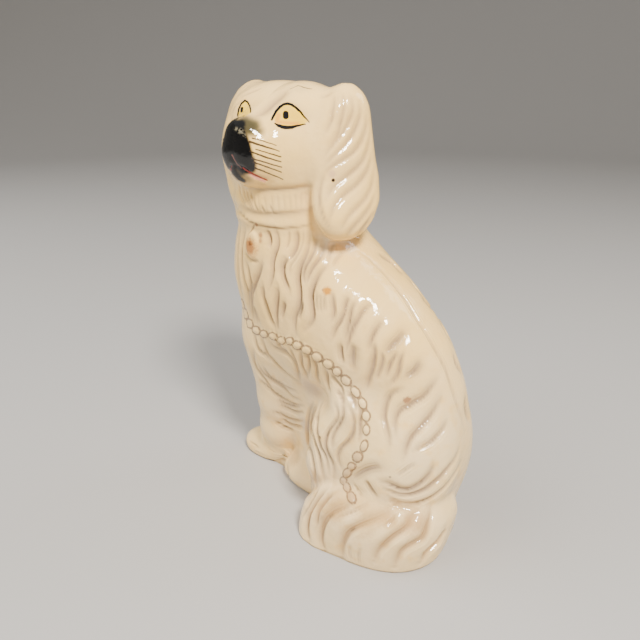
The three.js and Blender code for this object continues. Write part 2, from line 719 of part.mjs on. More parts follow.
// thinning: the edges that matter least are drawn together, one by one
const CARE_CHAIN = 6;           // how much more a face counts near the chain and on the face
const CARE_FACE = 4;
const CARE_DISPLAY = 1.6;

function care(p) {
  if (links.some((link) => hypot(...p.map((v, n) => v - link.p[n])) < CHAIN_LINK)) return CARE_CHAIN;
  if (p[2] > 262 && p[1] < -30) return CARE_FACE;
  return p[1] < -10 ? CARE_DISPLAY : 1;
}

const BOUND = 0.003;            // pull towards the old place, against slivers
const TURN_LIMIT = 0.25;        // least cosine by which a face may swing

const minus = (a, b) => [a[0] - b[0], a[1] - b[1], a[2] - b[2]];
const cross = (a, b) => [
  a[1] * b[2] - a[2] * b[1],
  a[2] * b[0] - a[0] * b[2],
  a[0] * b[1] - a[1] * b[0],
];
const dot = (a, b) => a[0] * b[0] + a[1] * b[1] + a[2] * b[2];

// squared distance to a set of planes, kept as the ten numbers of a symmetric form
function addPlane(form, n, d, w) {
  const [a, b, c] = n;
  const add = [a * a, a * b, a * c, b * b, b * c, c * c, a * d, b * d, c * d, d * d];
  for (let i = 0; i < 10; i += 1) form[i] += w * add[i];
}

function offPlanes(f, [x, y, z]) {
  return f[0] * x * x + 2 * f[1] * x * y + 2 * f[2] * x * z + f[3] * y * y + 2 * f[4] * y * z
    + f[5] * z * z + 2 * (f[6] * x + f[7] * y + f[8] * z) + f[9];
}

// the point closest to all the planes, or null where they don't meet in one
function closest(f) {
  const rows = [[f[0], f[1], f[2]], [f[1], f[3], f[4]], [f[2], f[4], f[5]]];
  const size = f[0] + f[3] + f[5];
  const c0 = cross(rows[1], rows[2]);
  const det = dot(rows[0], c0);
  if (det < 1e-6 * size ** 3) return null;
  const c1 = cross(rows[2], rows[0]);
  const c2 = cross(rows[0], rows[1]);
  return [0, 1, 2].map((i) => -(c0[i] * f[6] + c1[i] * f[7] + c2[i] * f[8]) / det);
}

// edges in order of cost, cheapest first
class Queue {
  items = [];

  push(item) {
    const { items } = this;
    let i = items.push(item) - 1;
    while (i > 0) {
      const up = (i - 1) >> 1;
      if (items[up].cost <= item.cost) break;
      items[i] = items[up];
      i = up;
    }
    items[i] = item;
  }

  pop() {
    const { items } = this;
    const first = items[0];
    const last = items.pop();
    if (items.length > 0) {
      let i = 0;
      for (;;) {
        let down = 2 * i + 1;
        if (down >= items.length) break;
        if (down + 1 < items.length && items[down + 1].cost < items[down].cost) down += 1;
        if (items[down].cost >= last.cost) break;
        items[i] = items[down];
        i = down;
      }
      items[i] = last;
    }
    return first;
  }
}

function thin({ points, faces }, target) {
  const around = points.map(() => []);
  const forms = points.map(() => new Float64Array(10));
  const age = new Int32Array(points.length);
  faces.forEach((face, f) => {
    const [a, b, c] = face.map((v) => points[v]);
    const n = cross(minus(b, a), minus(c, a));
    const size = hypot(...n) || 1e-12;
    const unit = n.map((v) => v / size);
    const weight = size * care(a);
    for (const v of face) {
      around[v].push(f);
      addPlane(forms[v], unit, -dot(unit, a), weight);
      for (const axis of [[1, 0, 0], [0, 1, 0], [0, 0, 1]]) {
        addPlane(forms[v], axis, -dot(axis, points[v]), size * BOUND);
      }
    }
  });

  const queue = new Queue();
  function offer(a, b) {
    const form = forms[a].map((v, i) => v + forms[b][i]);
    const flat = [a, b].filter((v) => points[v][2] === 0);
    let choice = [points[a], points[b], points[a].map((v, i) => (v + points[b][i]) / 2)];
    if (flat.length === 1) choice = [points[flat[0]]];
    const best = flat.length === 0 ? closest(form) : null;
    if (best && hypot(...minus(best, choice[2])) < 12) choice = [best];
    let cost = Infinity;
    let place = null;
    for (const p of choice) {
      const c = offPlanes(form, p);
      if (c < cost) [cost, place] = [c, p];
    }
    queue.push({ cost, a, b, place, ages: [age[a], age[b]] });
  }
  faces.forEach(([a, b, c]) => {
    if (a < b) offer(a, b);
    if (b < c) offer(b, c);
    if (c < a) offer(c, a);
  });

  const neighbours = (v) => new Set(around[v].flatMap((f) => faces[f]).filter((w) => w !== v));
  const swings = (v, other, place) => around[v].some((f) => {
    const face = faces[f];
    if (face.includes(other)) return false;
    const old = face.map((w) => points[w]);
    const now = face.map((w) => (w === v ? place : points[w]));
    const n0 = cross(minus(old[1], old[0]), minus(old[2], old[0]));
    const n1 = cross(minus(now[1], now[0]), minus(now[2], now[0]));
    const size = hypot(...n0) * hypot(...n1);
    const edge = Math.max(...now.map((p, i) => hypot(...minus(p, now[(i + 1) % 3]))));
    return dot(n0, n1) < TURN_LIMIT * size || hypot(...n1) < 0.04 * edge * edge;
  });

  let left = faces.length;
  while (left > target && queue.items.length > 0) {
    const { a, b, place, ages } = queue.pop();
    if (age[a] !== ages[0] || age[b] !== ages[1]) continue;
    const nearA = neighbours(a);
    const nearB = neighbours(b);
    const shared = [...nearA].filter((v) => nearB.has(v));
    if (shared.length !== 2 || swings(a, b, place) || swings(b, a, place)) continue;
    points[a] = place;
    forms[a].forEach((v, i) => { forms[a][i] = v + forms[b][i]; });
    for (const f of around[b]) {
      if (faces[f].includes(a)) {
        faces[f].filter((v) => v !== a && v !== b).forEach((v) => {
          around[v] = around[v].filter((g) => g !== f);
        });
        around[a] = around[a].filter((g) => g !== f);
        faces[f] = null;
        left -= 1;
      } else {
        faces[f] = faces[f].map((v) => (v === b ? a : v));
        around[a].push(f);
      }
    }
    around[b] = [];
    age[a] += 1;
    age[b] = -1;
    for (const v of neighbours(a)) offer(a, v);
  }

  const used = new Map();
  const kept = faces.filter(Boolean);
  kept.flat().forEach((v) => { if (!used.has(v)) used.set(v, used.size); });
  return {
    points: [...used.keys()].map((v) => points[v]),
    faces: kept.map((face) => face.map((v) => used.get(v))),
  };
}

// scene graph
const { points, faces } = thin(fineMesh(), FACES);
const geometry = new THREE.BufferGeometry();
geometry.setAttribute('position', new THREE.Float32BufferAttribute(points.flat(), 3));
geometry.setIndex(faces.flat());
geometry.computeVertexNormals();

const glaze = new THREE.MeshStandardMaterial({
  name: 'cream_glaze',
  color: 0xefe6d6,
  roughness: 0.15,
  metalness: 0,
});
const spaniel = new THREE.Mesh(geometry, glaze);
spaniel.name = 'spaniel';

const figurine = new THREE.Group();
figurine.name = 'staffordshire_spaniel';
figurine.add(spaniel);

export default figurine;
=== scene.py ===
"""Staffordshire spaniel: a seated mantelpiece dog in glazed white earthenware, dressed over its solid.

Shapes are worked out in millimetres in the part's own frame and turned to metres in the mesh.
"""

import bpy
import numpy as np
from mathutils import Matrix, Vector


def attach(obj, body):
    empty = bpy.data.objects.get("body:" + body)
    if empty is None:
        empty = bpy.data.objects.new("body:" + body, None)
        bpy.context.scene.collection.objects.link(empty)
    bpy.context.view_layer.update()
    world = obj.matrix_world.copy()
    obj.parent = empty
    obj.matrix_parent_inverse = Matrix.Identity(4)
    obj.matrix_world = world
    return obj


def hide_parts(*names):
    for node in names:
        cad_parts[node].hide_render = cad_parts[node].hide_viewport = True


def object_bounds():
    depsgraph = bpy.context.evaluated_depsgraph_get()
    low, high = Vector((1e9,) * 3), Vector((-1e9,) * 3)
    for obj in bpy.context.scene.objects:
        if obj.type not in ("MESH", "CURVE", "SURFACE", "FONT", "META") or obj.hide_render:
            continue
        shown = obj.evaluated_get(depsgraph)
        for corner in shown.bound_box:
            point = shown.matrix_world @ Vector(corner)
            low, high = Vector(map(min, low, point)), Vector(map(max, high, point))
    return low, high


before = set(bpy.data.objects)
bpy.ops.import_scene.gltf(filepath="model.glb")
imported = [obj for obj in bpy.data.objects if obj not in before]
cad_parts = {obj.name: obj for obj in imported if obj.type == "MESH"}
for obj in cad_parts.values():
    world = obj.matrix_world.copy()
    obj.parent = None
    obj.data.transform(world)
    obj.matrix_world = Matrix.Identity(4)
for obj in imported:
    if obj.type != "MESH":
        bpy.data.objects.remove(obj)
CAD_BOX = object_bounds()

# camera: the photograph's place, in millimetres
EYE_POINT = np.array([283.0, -370.0, 344.0])
YAW = np.radians(40.0)
PITCH = np.radians(22.1)
FOCAL = 640.0                   # pixels, on a frame of 640 by 640
MIDDLE = 320                    # pixel of the frame's middle
SENSOR = 36                     # width of the frame in the camera
NEAREST = 330                   # the whole dog is farther from the camera than this
AHEAD = np.array([-np.sin(YAW) * np.cos(PITCH), np.cos(YAW) * np.cos(PITCH), -np.sin(PITCH)])
ASIDE = np.array([np.cos(YAW), np.sin(YAW), 0.0])
ABOVE = np.cross(ASIDE, AHEAD)

# dimensions of the dog
HEIGHT = 330.0
HEAD_X = -38.0                  # middle plane of the turned head
HEAD_Z = 291.0                  # middle of the skull
HEAD_RADIUS = HEIGHT - HEAD_Z
EYE_X, EYE_Z = 21.0, 311.0      # eye, measured from the middle plane of the head
MUZZLE_Y = -60.0                # middle of the muzzle's round end
MUZZLE_WIDE = 0.86              # how its section is drawn out sideways, 1 for round
BRIDGE_WIDE = 0.72              # the same for the bridge of the nose above it
RUFF = (48, 47, 18)
COLLAR_Z = 238.0
COLLAR_BAND = (47, 45.5, 10)
BASE_ROUND = 3                  # rounding where the side meets the flat base
BASE_MIDDLE = [18.0, -12.0, 0.0]

RINGS, TURNS = 134, 182
SETTLE = 12                     # rounds of evening out
CROWD = 0.5                     # how much closer the columns stand on the display side
OUTSIDE = 180                   # every ray starts this far out
LOOK_DOWN = 34                  # how far above its aim a low ray starts
LOOK_DOWN_TO = 170              # and the height from which on rays are level

TRUNK = [  # height, breast x, back x, display y, rear y
    [-20, -30, 96, -26, 34], [0, -40, 98, -28, 36], [40, -50, 101, -32, 40],
    [80, -63, 103.5, -36, 42], [115, -79, 105, -46, 44], [150, -92, 94, -56, 44],
    [188, -96, 62.5, -60, 41], [212, -90, 31.5, -59, 36], [230, -83, 12, -57, 31],
    [262, -80, 4, -54, 28],
]
TRUNK_TOP = 262                 # cut off level there, inside the head
TRUNK_SECTION = 2.2             # between an ellipse, 2, and a rounded box
NEAR_LEG = [[-58, -16, 132, 30], [-62, -11, 72, 19], [-66.5, -7, 40, 17.5], [-71, -2, 16, 16]]
FAR_LEG = [[-52, 14, 114, 25], [-62, 24, 70, 18], [-64, 25, 18, 16]]
KNEE = [[38, -36, 106, 22], [27, -39, 84, 21], [20, -39, 58, 20], [14, -36, 26, 16]]
TAIL = [  # way along, x, y, z, radius
    [0, 95, -10, 30, 16.5], [1, 90, -30, 29, 22.5], [2, 78, -43, 28, 25.2], [3, 58, -49, 28, 26.2],
    [4, 40, -51, 26, 25.2], [5, 32, -54, 18, 22], [6, 23.5, -57.5, 12.5, 19],
]
TAIL_Z = 27.0                   # middle of the roll
TAIL_STEPS = 18
TAIL_FOOT = 0.45                # how far it draws in below its middle, 1 for a full round
EAR = [  # height, q and y of the middle, half width, half thickness
    [229, 47, -23, 5, 4], [232.5, 49, -23, 12, 8], [238, 50.5, -23.5, 17.5, 11],
    [246, 51.5, -23.5, 22.5, 13], [257, 52, -22.5, 25.6, 13.5], [268, 52, -22.5, 25.3, 13.5],
    [282, 51.5, -23.4, 23.3, 13], [300, 50.3, -21.7, 20, 12], [314, 49.3, -19.7, 17, 11.5],
    [323, 48.3, -17.6, 12, 9.5], [328, 46.5, -16, 7, 6.5], [331, 46, -15, 1, 1],
]
EAR_HEM = 230
EAR_SECTION = 2.2               # blunt edges, 2 for an ellipse
EAR_TURN = np.radians(20.0)     # the flap follows the side of the skull
SHOULDER_PUSH = 9               # how far the shoulder pushes the near ear's hem out and forward
FAR_TUCK = 7.5                  # the far ear hangs free and lies closer,
FAR_HEM_TUCK = 9                # and its hem closer still
HOLLOWS = [  # middle x, y, z, reach along x, y, z, depth: under the chain, and in front of the knee
    [4, -46, 109, 19, 25, 11, 5], [-14, -42, 94, 9, 25, 16, 2.5],
]
AXIS = [  # height, x, y, half length along X of the line that the rays leave
    [0, 18, -12, 56], [60, 18, -9, 48], [120, 8, -8, 36], [180, -10, -8, 20],
    [225, -34, -11, 1], [300, -38, -14, 0],
]
RING = [  # share of the rings, height aimed at, rise in degrees
    [0, 0, 0], [0.1, 14, 0], [0.3, 84, 0], [0.52, 188, 0], [0.66, 236, -6],
    [0.74, 262, 0], [0.82, 282, 8], [0.9, 296, 35], [1, 300, 90],
]


# helpers on whole arrays; points are arrays of three rows x, y, z
def step(a, b, v):
    """Smooth step: 0 up to a, 1 from b on, cubic between; a may be the larger."""
    t = np.clip((v - a) / (b - a), 0, 1)
    return t * t * (3 - 2 * t)


def blend(a, b, k):
    """Smooth minimum of two distances: a quadratic fillet about k wide where they are close."""
    h = np.clip(0.5 + 0.5 * (b - a) / k, 0, 1)
    return b + (a - b) * h - k * h * (1 - h)


def curve(stations, column):
    """Smooth curve through stations: cubics whose slopes are harmonic means of the neighbours'."""
    table = np.array(stations, float)
    s, v = table[:, 0], table[:, column]
    d = np.diff(v) / np.diff(s)
    both = d[1:] * d[:-1]
    inner = np.where(both > 0, 2 * both / np.where(both > 0, d[1:] + d[:-1], 1), 0)
    m = np.concatenate([d[:1], inner, d[-1:]])

    def at(w):
        i = np.clip(np.searchsorted(s, w) - 1, 0, len(s) - 2)
        h = s[i + 1] - s[i]
        t = np.clip((w - s[i]) / h, 0, 1)
        t2, t3 = t * t, t * t * t
        return ((2 * t3 - 3 * t2 + 1) * v[i] + (t3 - 2 * t2 + t) * h * m[i]
                + (3 * t2 - 2 * t3) * v[i + 1] + (t3 - t2) * h * m[i + 1])
    return at


def egg(x, y, z, c, r):
    """Distance to an ellipsoid, about: k0 (k0 - 1) / k1 with the scaled lengths k0 and k1."""
    u, v, w = x - c[0], y - c[1], z - c[2]
    k0 = np.sqrt((u / r[0]) ** 2 + (v / r[1]) ** 2 + (w / r[2]) ** 2)
    k1 = np.sqrt((u / r[0] ** 2) ** 2 + (v / r[1] ** 2) ** 2 + (w / r[2] ** 2) ** 2) + 1e-9
    return k0 * (k0 - 1) / k1


def tilted_egg(x, y, z, c, r, degrees):
    """An ellipsoid turned about the Y axis."""
    s, k = np.sin(np.radians(degrees)), np.cos(np.radians(degrees))
    u, w = x - c[0], z - c[2]
    return egg(k * u - s * w, y - c[1], s * u + k * w, (0, 0, 0), r)


def cone(x, y, z, a, b):
    """Distance to a round cone from a to b, each x, y, z, radius: that of the sphere between
    them whose middle lies back from the point's own foot by the slope of the flank."""
    ux, uy, uz = b[0] - a[0], b[1] - a[1], b[2] - a[2]
    px, py, pz = x - a[0], y - a[1], z - a[2]
    long = np.sqrt(ux * ux + uy * uy + uz * uz)
    sine = (a[3] - b[3]) / long
    foot = (px * ux + py * uy + pz * uz) / long
    away = np.sqrt(np.maximum(px * px + py * py + pz * pz - foot * foot, 0))
    t = np.clip((foot - away * sine / np.sqrt(1 - sine * sine)) / long, 0, 1)
    far = np.sqrt((px - t * ux) ** 2 + (py - t * uy) ** 2 + (pz - t * uz) ** 2)
    return far - (a[3] + (b[3] - a[3]) * t)


def limb(x, y, z, points, k):
    """Round cones end to end, blended by k."""
    d = cone(x, y, z, points[0], points[1])
    for a, b in zip(points[1:-1], points[2:]):
        e = cone(x, y, z, a, b)
        d = blend(d, e, k) if k else np.minimum(d, e)
    return d


# the form: distance to the dog's skin, negative inside
TRUNK_LEFT, TRUNK_RIGHT, TRUNK_FRONT, TRUNK_BACK = [curve(TRUNK, c) for c in (1, 2, 3, 4)]
TAIL_AT = [curve(TAIL, c) for c in (1, 2, 3, 4)]
TAIL_ROLL = [[f(6 * i / TAIL_STEPS) for f in TAIL_AT] for i in range(TAIL_STEPS + 1)]
EAR_Q, EAR_Y, EAR_WIDE, EAR_THICK = [curve(EAR, c) for c in (1, 2, 3, 4)]


def trunk(x, y, z):
    """Stacked sections between ellipse and rounded box, as wide at each height as TRUNK says: the
    distance is the share of the way to the middle that lies outside the section, taken short."""
    x0, x1, y0, y1 = TRUNK_LEFT(z), TRUNK_RIGHT(z), TRUNK_FRONT(z), TRUNK_BACK(z)
    dx, dy = x - (x0 + x1) / 2, y - (y0 + y1) / 2
    a = (np.abs(dx) * 2 / (x1 - x0)) ** TRUNK_SECTION
    b = (np.abs(dy) * 2 / (y1 - y0)) ** TRUNK_SECTION
    k = np.maximum((a + b) ** (1 / TRUNK_SECTION), 1e-3)
    return np.maximum(np.hypot(dx, dy) * (1 - 1 / k) * 0.8, z - TRUNK_TOP)


def front_legs(x, y, z):
    """Two tapering legs with egg-shaped paws, joined by a shallow web."""
    near = blend(limb(x, y, z, NEAR_LEG, 10), egg(x, y, z, (-89, -3.5, 6.5), (24.5, 16, 14.5)), 12)
    far = blend(limb(x, y, z, FAR_LEG, 10), egg(x, y, z, (-82, 25, 11), (25, 17, 17)), 16)
    return blend(near, far, 18)


def hindquarters(x, y, z):
    """Two haunches, the near knee standing out as a limb, and the hind paws."""
    near = tilted_egg(x, y, z, (60, -18, 68), (50, 42, 66), 12)
    near = blend(near, limb(x, y, z, KNEE, 10), 14)
    near = blend(near, egg(x, y, z, (-19, -18, 10), (32, 15, 15)), 8)
    far = blend(tilted_egg(x, y, z, (58, 12, 66), (48, 32, 62), 12),
                egg(x, y, z, (-14, 26, 10), (30, 15, 14)), 10)
    return blend(near, far, 10)


def hollows(x, y, z):
    """How far the skin is pressed in: a bell of 1 / e at each hollow's own radii."""
    return sum(depth * np.exp(-((x - a) / u) ** 2 - ((y - b) / v) ** 2 - ((z - c) / w) ** 2)
               for a, b, c, u, v, w, depth in HOLLOWS)


def tail(x, y, z):
    """A thick roll round the haunch, drawn in less than a full round below its middle."""
    low = np.where(z < TAIL_Z, TAIL_Z + (z - TAIL_Z) * TAIL_FOOT, z)
    return limb(x, y, low, TAIL_ROLL, 3)


def head(q, y, z):
    """Skull, cheek, jaw, muzzle, lips, nose, chin, eyeball and brow; q is from the middle plane."""
    d = egg(q, y, z, (0, -11, HEAD_Z), (49, 43, HEAD_RADIUS))
    d = blend(d, egg(q, y, z, (24, -28, 281), (25, 25, 25)), 12)
    d = blend(d, egg(q, y, z, (0, -21, 268), (42, 39, 20)), 10)
    d = blend(d, cone(q * MUZZLE_WIDE, y, z, (0, -32, 286, 29), (0, MUZZLE_Y, 288, 15)), 16)
    d = blend(d, cone(q * BRIDGE_WIDE, y, z, (0, -34, 298, 18), (0, MUZZLE_Y - 2, 298, 10.5)), 8)
    d = blend(d, egg(q, y, z, (6.5, MUZZLE_Y - 2, 285), (11, 10.5, 12)), 12)
    d = blend(d, egg(q, y, z, (0, MUZZLE_Y - 7, 300), (11.5, 8, 8.5)), 5)
    d = blend(d, egg(q, y, z, (0, MUZZLE_Y + 1, 273), (14, 13, 9)), 5)
    d = blend(d, egg(q, y, z, (EYE_X, -37, EYE_Z), (13, 9, 10)), 5)
    return blend(d, egg(q, y, z, (16, -22, 316), (19, 18, 13)), 10)


def ear(q, y, z, near):
    """A flap that hangs from the crown, of stacked sections measured as the trunk's are; the
    shoulder pushes the near hem out."""
    h = np.clip(z, EAR[0][0], EAR[-1][0])
    push = np.where(near, SHOULDER_PUSH * step(276, 230, z), 0)
    dq = q - EAR_Q(h) - push + np.where(near, 0, FAR_TUCK + FAR_HEM_TUCK * step(278, 232, z))
    dy = y - EAR_Y(h) + push
    across = np.sin(EAR_TURN) * dq + np.cos(EAR_TURN) * dy
    out = np.cos(EAR_TURN) * dq - np.sin(EAR_TURN) * dy
    thick = EAR_THICK(h)
    a, b = np.abs(across / EAR_WIDE(h)) ** EAR_SECTION, np.abs(out / thick) ** EAR_SECTION
    k = (a + b) ** (1 / EAR_SECTION)
    d = np.where(k < 0.3, -thick / 2, np.hypot(across, out) * (1 - 1 / np.maximum(k, 0.3)) * 0.6)
    return np.maximum(np.maximum(d, z - HEIGHT), EAR_HEM - z)


def dog(p):
    """The whole form: trunk, legs, haunches and tail low down, head, ruff, collar and ears above."""
    x, y, z = p
    d = trunk(x, y, z)
    low = z < 190
    if low.any():
        a, b, c = x[low], y[low], z[low]
        e = blend(d[low], front_legs(a, b, c), 16)
        e = blend(e, hindquarters(a, b, c), 12)
        e = e + hollows(a, b, c)
        d[low] = blend(e, tail(a, b, c), 4)
    high = z > 180
    if high.any():
        a, b, c = x[high], y[high], z[high]
        q = np.abs(a - HEAD_X)
        top = blend(head(q, b, c), egg(a, b, c, (HEAD_X, -13, 250), RUFF), 10)
        top = blend(top, egg(a, b, c, (HEAD_X, -13, COLLAR_Z), COLLAR_BAND), 5)
        top = blend(top, ear(q, b, c, a > HEAD_X), 4 + 9 * step(262, 318, c))
        lap = step(HEAD_X + 25, HEAD_X + 45, a) * step(252, 240, c)
        d[high] = blend(d[high], top, 5 + 5 * lap)
    return -blend(-d, z, BASE_ROUND)


def slope(p):
    """Gradient of the form from four points of a small tetrahedron."""
    h = 0.4
    corners = np.array([[1, -1, -1], [-1, -1, 1], [-1, 1, -1], [1, 1, 1]], float)
    return sum(k[:, None] * dog(p + h * k[:, None]) for k in corners) / (4 * h)


def unit(v):
    """Vectors, in columns, brought to length 1."""
    return v / (np.sqrt((v * v).sum(0)) + 1e-12)


def press(p, rounds=2):
    """Newton steps along the gradient that bring points onto the skin."""
    for _ in range(rounds):
        g = slope(p)
        p = p - np.clip(dog(p) / ((g * g).sum(0) + 1e-6), -3, 3) * g
        p[2] = np.maximum(p[2], 0.05)
    return p


def march(origin, ray, start, rounds=70, shorter=True):
    """Follow rays to the skin, inwards from start, or outwards to it."""
    r = np.full(ray.shape[1], float(start))
    for _ in range(rounds):
        d = 0.85 * dog(origin + ray * r)
        r = np.maximum(r - d, 0.5) if shorter else r + d
    return origin + ray * r, r


# the surface: rings of rays, evened out on the skin, then cut finer
def rings():
    """Ring by ring, rays leave a short line inside the dog, look down low on the body, and
    crowd together towards the display side; each is followed from outside to the skin."""
    share = np.linspace(0, 1, RINGS)
    aim = np.maximum(curve(RING, 1)(share), 0.8)[:, None]
    t = np.linspace(0, 2 * np.pi, TURNS, endpoint=False)
    turn = (t - CROWD * np.cos(t))[None, :] + 0 * aim
    lift = LOOK_DOWN * np.maximum(1 - aim / LOOK_DOWN_TO, 0)
    lift[0] = 0
    c, s = np.cos(turn), np.sin(turn)
    origin = np.stack([curve(AXIS, 1)(aim) + curve(AXIS, 3)(aim) * c,
                       curve(AXIS, 2)(aim) + 0 * c, aim + lift + 0 * c])
    base = np.stack([c[0], s[0], 0 * c[0]])
    rim = march(origin[:, 0], base, OUTSIDE)[1]
    rise = np.radians(curve(RING, 2)(share))[:, None] - np.arctan2(lift, rim[None, :])
    rise[0] = 0
    ray = np.stack([np.cos(rise) * c, np.cos(rise) * s, np.sin(rise)])
    p = march(origin.reshape(3, -1), ray.reshape(3, -1), OUTSIDE)[0].reshape(3, RINGS, TURNS)
    p[2, 0] = 0
    return p


def settle(p):
    """Each point moves towards the mean of its four neighbours and back onto the skin."""
    for _ in range(SETTLE):
        sides = np.roll(p, 1, 2) + np.roll(p, -1, 2)
        moved = 0.4 * p[:, 1:-1] + 0.15 * (sides[:, 1:-1] + p[:, :-2] + p[:, 2:])
        rim = 0.5 * p[:, 0] + 0.25 * sides[:, 0]
        p = p.copy()
        p[:, 1:-1] = press(moved.reshape(3, -1)).reshape(moved.shape)
        p[:, 0] = rim
    return p


def halve(p, axis, closed):
    """Put a point midway between each two along an axis, on the cubic through its four neighbours."""
    q = np.moveaxis(p, axis, -1)
    if closed:
        a, b, c = np.roll(q, 1, -1), np.roll(q, -1, -1), np.roll(q, -2, -1)
        mid = (9 * (q + b) - a - c) / 16
    else:
        wide = np.concatenate([q[..., :1], q, q[..., -1:]], -1)
        mid = (9 * (wide[..., 1:-2] + wide[..., 2:-1]) - wide[..., :-3] - wide[..., 3:]) / 16
        mid = np.concatenate([mid, q[..., -1:]], -1)
    both = np.stack([q, mid], -1).reshape(*q.shape[:-1], -1)
    return np.moveaxis(both if closed else both[..., :-1], -1, axis)


def skin():
    """The fine grid of points on the form: three rows of x, y, z by ring by turn."""
    p = halve(halve(settle(rings()), 2, True), 1, False)
    p[:, 1:-1] = press(p[:, 1:-1].reshape(3, -1)).reshape(3, -1, p.shape[2])
    p[2, 0] = 0
    return p


# marks: lines that are cut into the skin
def spline(points, count):
    """Catmull-Rom line through points, as count + 1 points in rows."""
    p = np.array(points, float)
    s = np.linspace(0, len(p) - 1, count + 1)
    i = np.minimum(s.astype(int), len(p) - 2)
    t = (s - i)[:, None]
    a, b, c, d = [p[np.clip(i + k, 0, len(p) - 1)] for k in (-1, 0, 1, 2)]
    return b + 0.5 * t * (c - a + t * (2 * a - 5 * b + 4 * c - d + t * (3 * (b - c) + d - a)))


def seen(spots):
    """Where the camera's rays through pixels of the photograph meet the skin."""
    u, v = np.array(spots, float).T
    ray = unit(AHEAD[:, None] * FOCAL + ASIDE[:, None] * (u - MIDDLE) + ABOVE[:, None] * (MIDDLE - v))
    return march(EYE_POINT[:, None], ray, NEAREST, 90, shorter=False)[0]


def on_plain_side(line):
    """Where rays from far out on the plain side, aimed at points [x, z], meet the skin."""
    x, z = np.array(line, float).T
    return march(np.stack([x, 0 * x, z]), np.stack([0 * x, 0 * x + 1, 0 * x]), 150, 60)[0]


MARKS = []                      # each: points on the skin, reach, depth, lean, tint, hair


def mark(points, reach, depth, lean=0.0, tint=0.0, hair=True):
    """Remember a cut line: lean from -1 to 1 makes one side of it steep and the other gentle,
    tint is how much brown is laid in it, old gilding on some lines and painted shade under
    the locket and the ruff on others, and fine strands follow it where it is hair."""
    MARKS.append((points, reach, depth, lean, tint, hair))


def plain_locks(a, b, count):
    """Valleys on the plain side between line a and line b, [x, z] each, swaying a little."""
    a, b = np.array(a, float), np.array(b, float)
    spread = np.hypot(*(a[1] - b[1])) / (count - 1)
    i = np.arange(len(a))
    for k in range(count):
        line = a + (b - a) * k / (count - 1)
        line[:, 0] += 1.5 * np.sin(2.4 * i + 1.7 * k)
        line[[0, -1], 1] -= 4 * (k % 2)
        mark(on_plain_side(spline(line, 40)), np.clip(spread * 0.55, 2.4, 5.5), 1.2)


def pixels(text):
    """Groups of numbers: a line is written as pixels of the photograph, x,y after x,y."""
    return [[float(v) for v in item.split(",")] for item in text.split()]


def rows(text):
    """The rows of a text; an indented row goes on with the row above it."""
    return text.replace("\n    ", " ").strip().splitlines()


STROKES = []                    # each: line in pixels, whether mirrored, reach, depth, lean, tint, hair


def strokes(text, reach, depth, lean=0.0, tint=0.0, hair=True, mirrored=False):
    """Remember lines of pixels, one to a row; mirrored ones also go to the head's other side."""
    STROKES.extend((spline(pixels(row), 32), mirrored, reach, depth, lean, tint, hair) for row in rows(text))


def lay_strokes():
    """Cast all the lines onto the skin at once, then mirror those of the head and press them on."""
    hits = seen(np.concatenate([s[0] for s in STROKES])).reshape(3, len(STROKES), -1)
    twins = [i for i, s in enumerate(STROKES) if s[1]]
    other = hits[:, twins].copy()
    other[0] = 2 * HEAD_X - other[0]
    other = press(other.reshape(3, -1), 4).reshape(other.shape)
    for i, (_, _, reach, depth, lean, tint, hair) in enumerate(STROKES):
        mark(hits[:, i], reach, depth, lean, tint, hair)
    for n, i in enumerate(twins):
        _, _, reach, depth, lean, tint, hair = STROKES[i]
        mark(other[:, n], reach, depth, -lean, tint, hair)


# coat on the display side, as the photograph shows it: main locks
strokes("""
262,264 259,273 254.5,284 251.5,293 251.5,303 253.5,312 257,321
263,287 263,296 265.5,304 268.5,313 271.5,321 275,328
278,289 277,299 276,309 276,318 277,329
288,259 284,264 282.5,270 283.5,277 286,284 289,290
310,236 309,246 306,256 302,264 299.5,272 298.5,281 299.5,291 299.5,300 298,309 295,318 294.5,327
    295.5,335
327,266 319.5,275 314,286 311.5,296 312,306 313,315 311.5,323 306,330
374.5,344 375,354 374,363 372,372 369,381 366.5,389
437,381 432,388 427,395 421,400 415,403 409,407 402,410 397,416 395,424 396,434
441,399 436,409 431,417 425,424 419,430.5 413,437 409,444 406.5,451 405,457
459,451 456,460 451,467.5 446,474 441,480 435,485 427,491 418,495 408,497 398,496 390,492.5 384,489
434,465 431.5,473 427,480 419,487 410,491.5 401,491.5 393,488 387,485 382,483
""", 5.0, 3.8, 0.4)
# locks between them
strokes("""
240,228 238.5,240 237.5,252 237.5,262 238.5,276 240.5,290 243.5,303
245,231 242,244 241.5,256 242,268 244,280 247,292 248,303 250,314
247,264 249,274 250,284 249,295 250,305 252,314 254,320
254,308 257,317 259,322
268,231 270,240 269,248
276,230 278,240 277,248 274,256 272.5,264 272.5,272 271,281 269,289
285,303 283,310 281,319
297,231 298,240 296,249 292,256 288.5,259
317,240 314.5,251 309.5,260 305,268 303.5,276 305,284
302,302 300.5,310 298,319
325,246 321.5,256 315,265 309.5,274 307,284
333,294 333.5,304 334,313 331.5,322
346,303 345,312 340.5,322 335.5,330 332,340
349,297 346,306 344.5,314
356,302 352,310 350,320 347.5,330 345,341
361,315 355,323 351,332 348.5,342 346,352
372,304 365,310 358.5,320 354,329 352,338
383,322 376.5,331 372,340 369,350
341.5,345 341,354 343,363
383,353 383,362 380.5,371 376,380
398,352 393,361 389.5,369 387,377
404,353 401,362 399.5,371 396,379 390.5,385
401,390.5 394,393.5 389,399 386,407 384.5,417 386.5,427 389,437 389.5,447
447,422 443.5,430 438,437 431,443.5 424,447.5 414,451
461,463 457,472 452,480 446,488 439,494.5 431,500 421,504 411,506 401,505 394,501 388,497
413,508 402,508 395,505.5 389,500
366,481 370.5,489 376.5,497
455,356 457.5,363 461,368
466,398 467,408 469.5,418
380,254 389,259 397,266 401,272
424,299 430,305 436,313 440,320
""", 4.4, 3.1, 0.4)
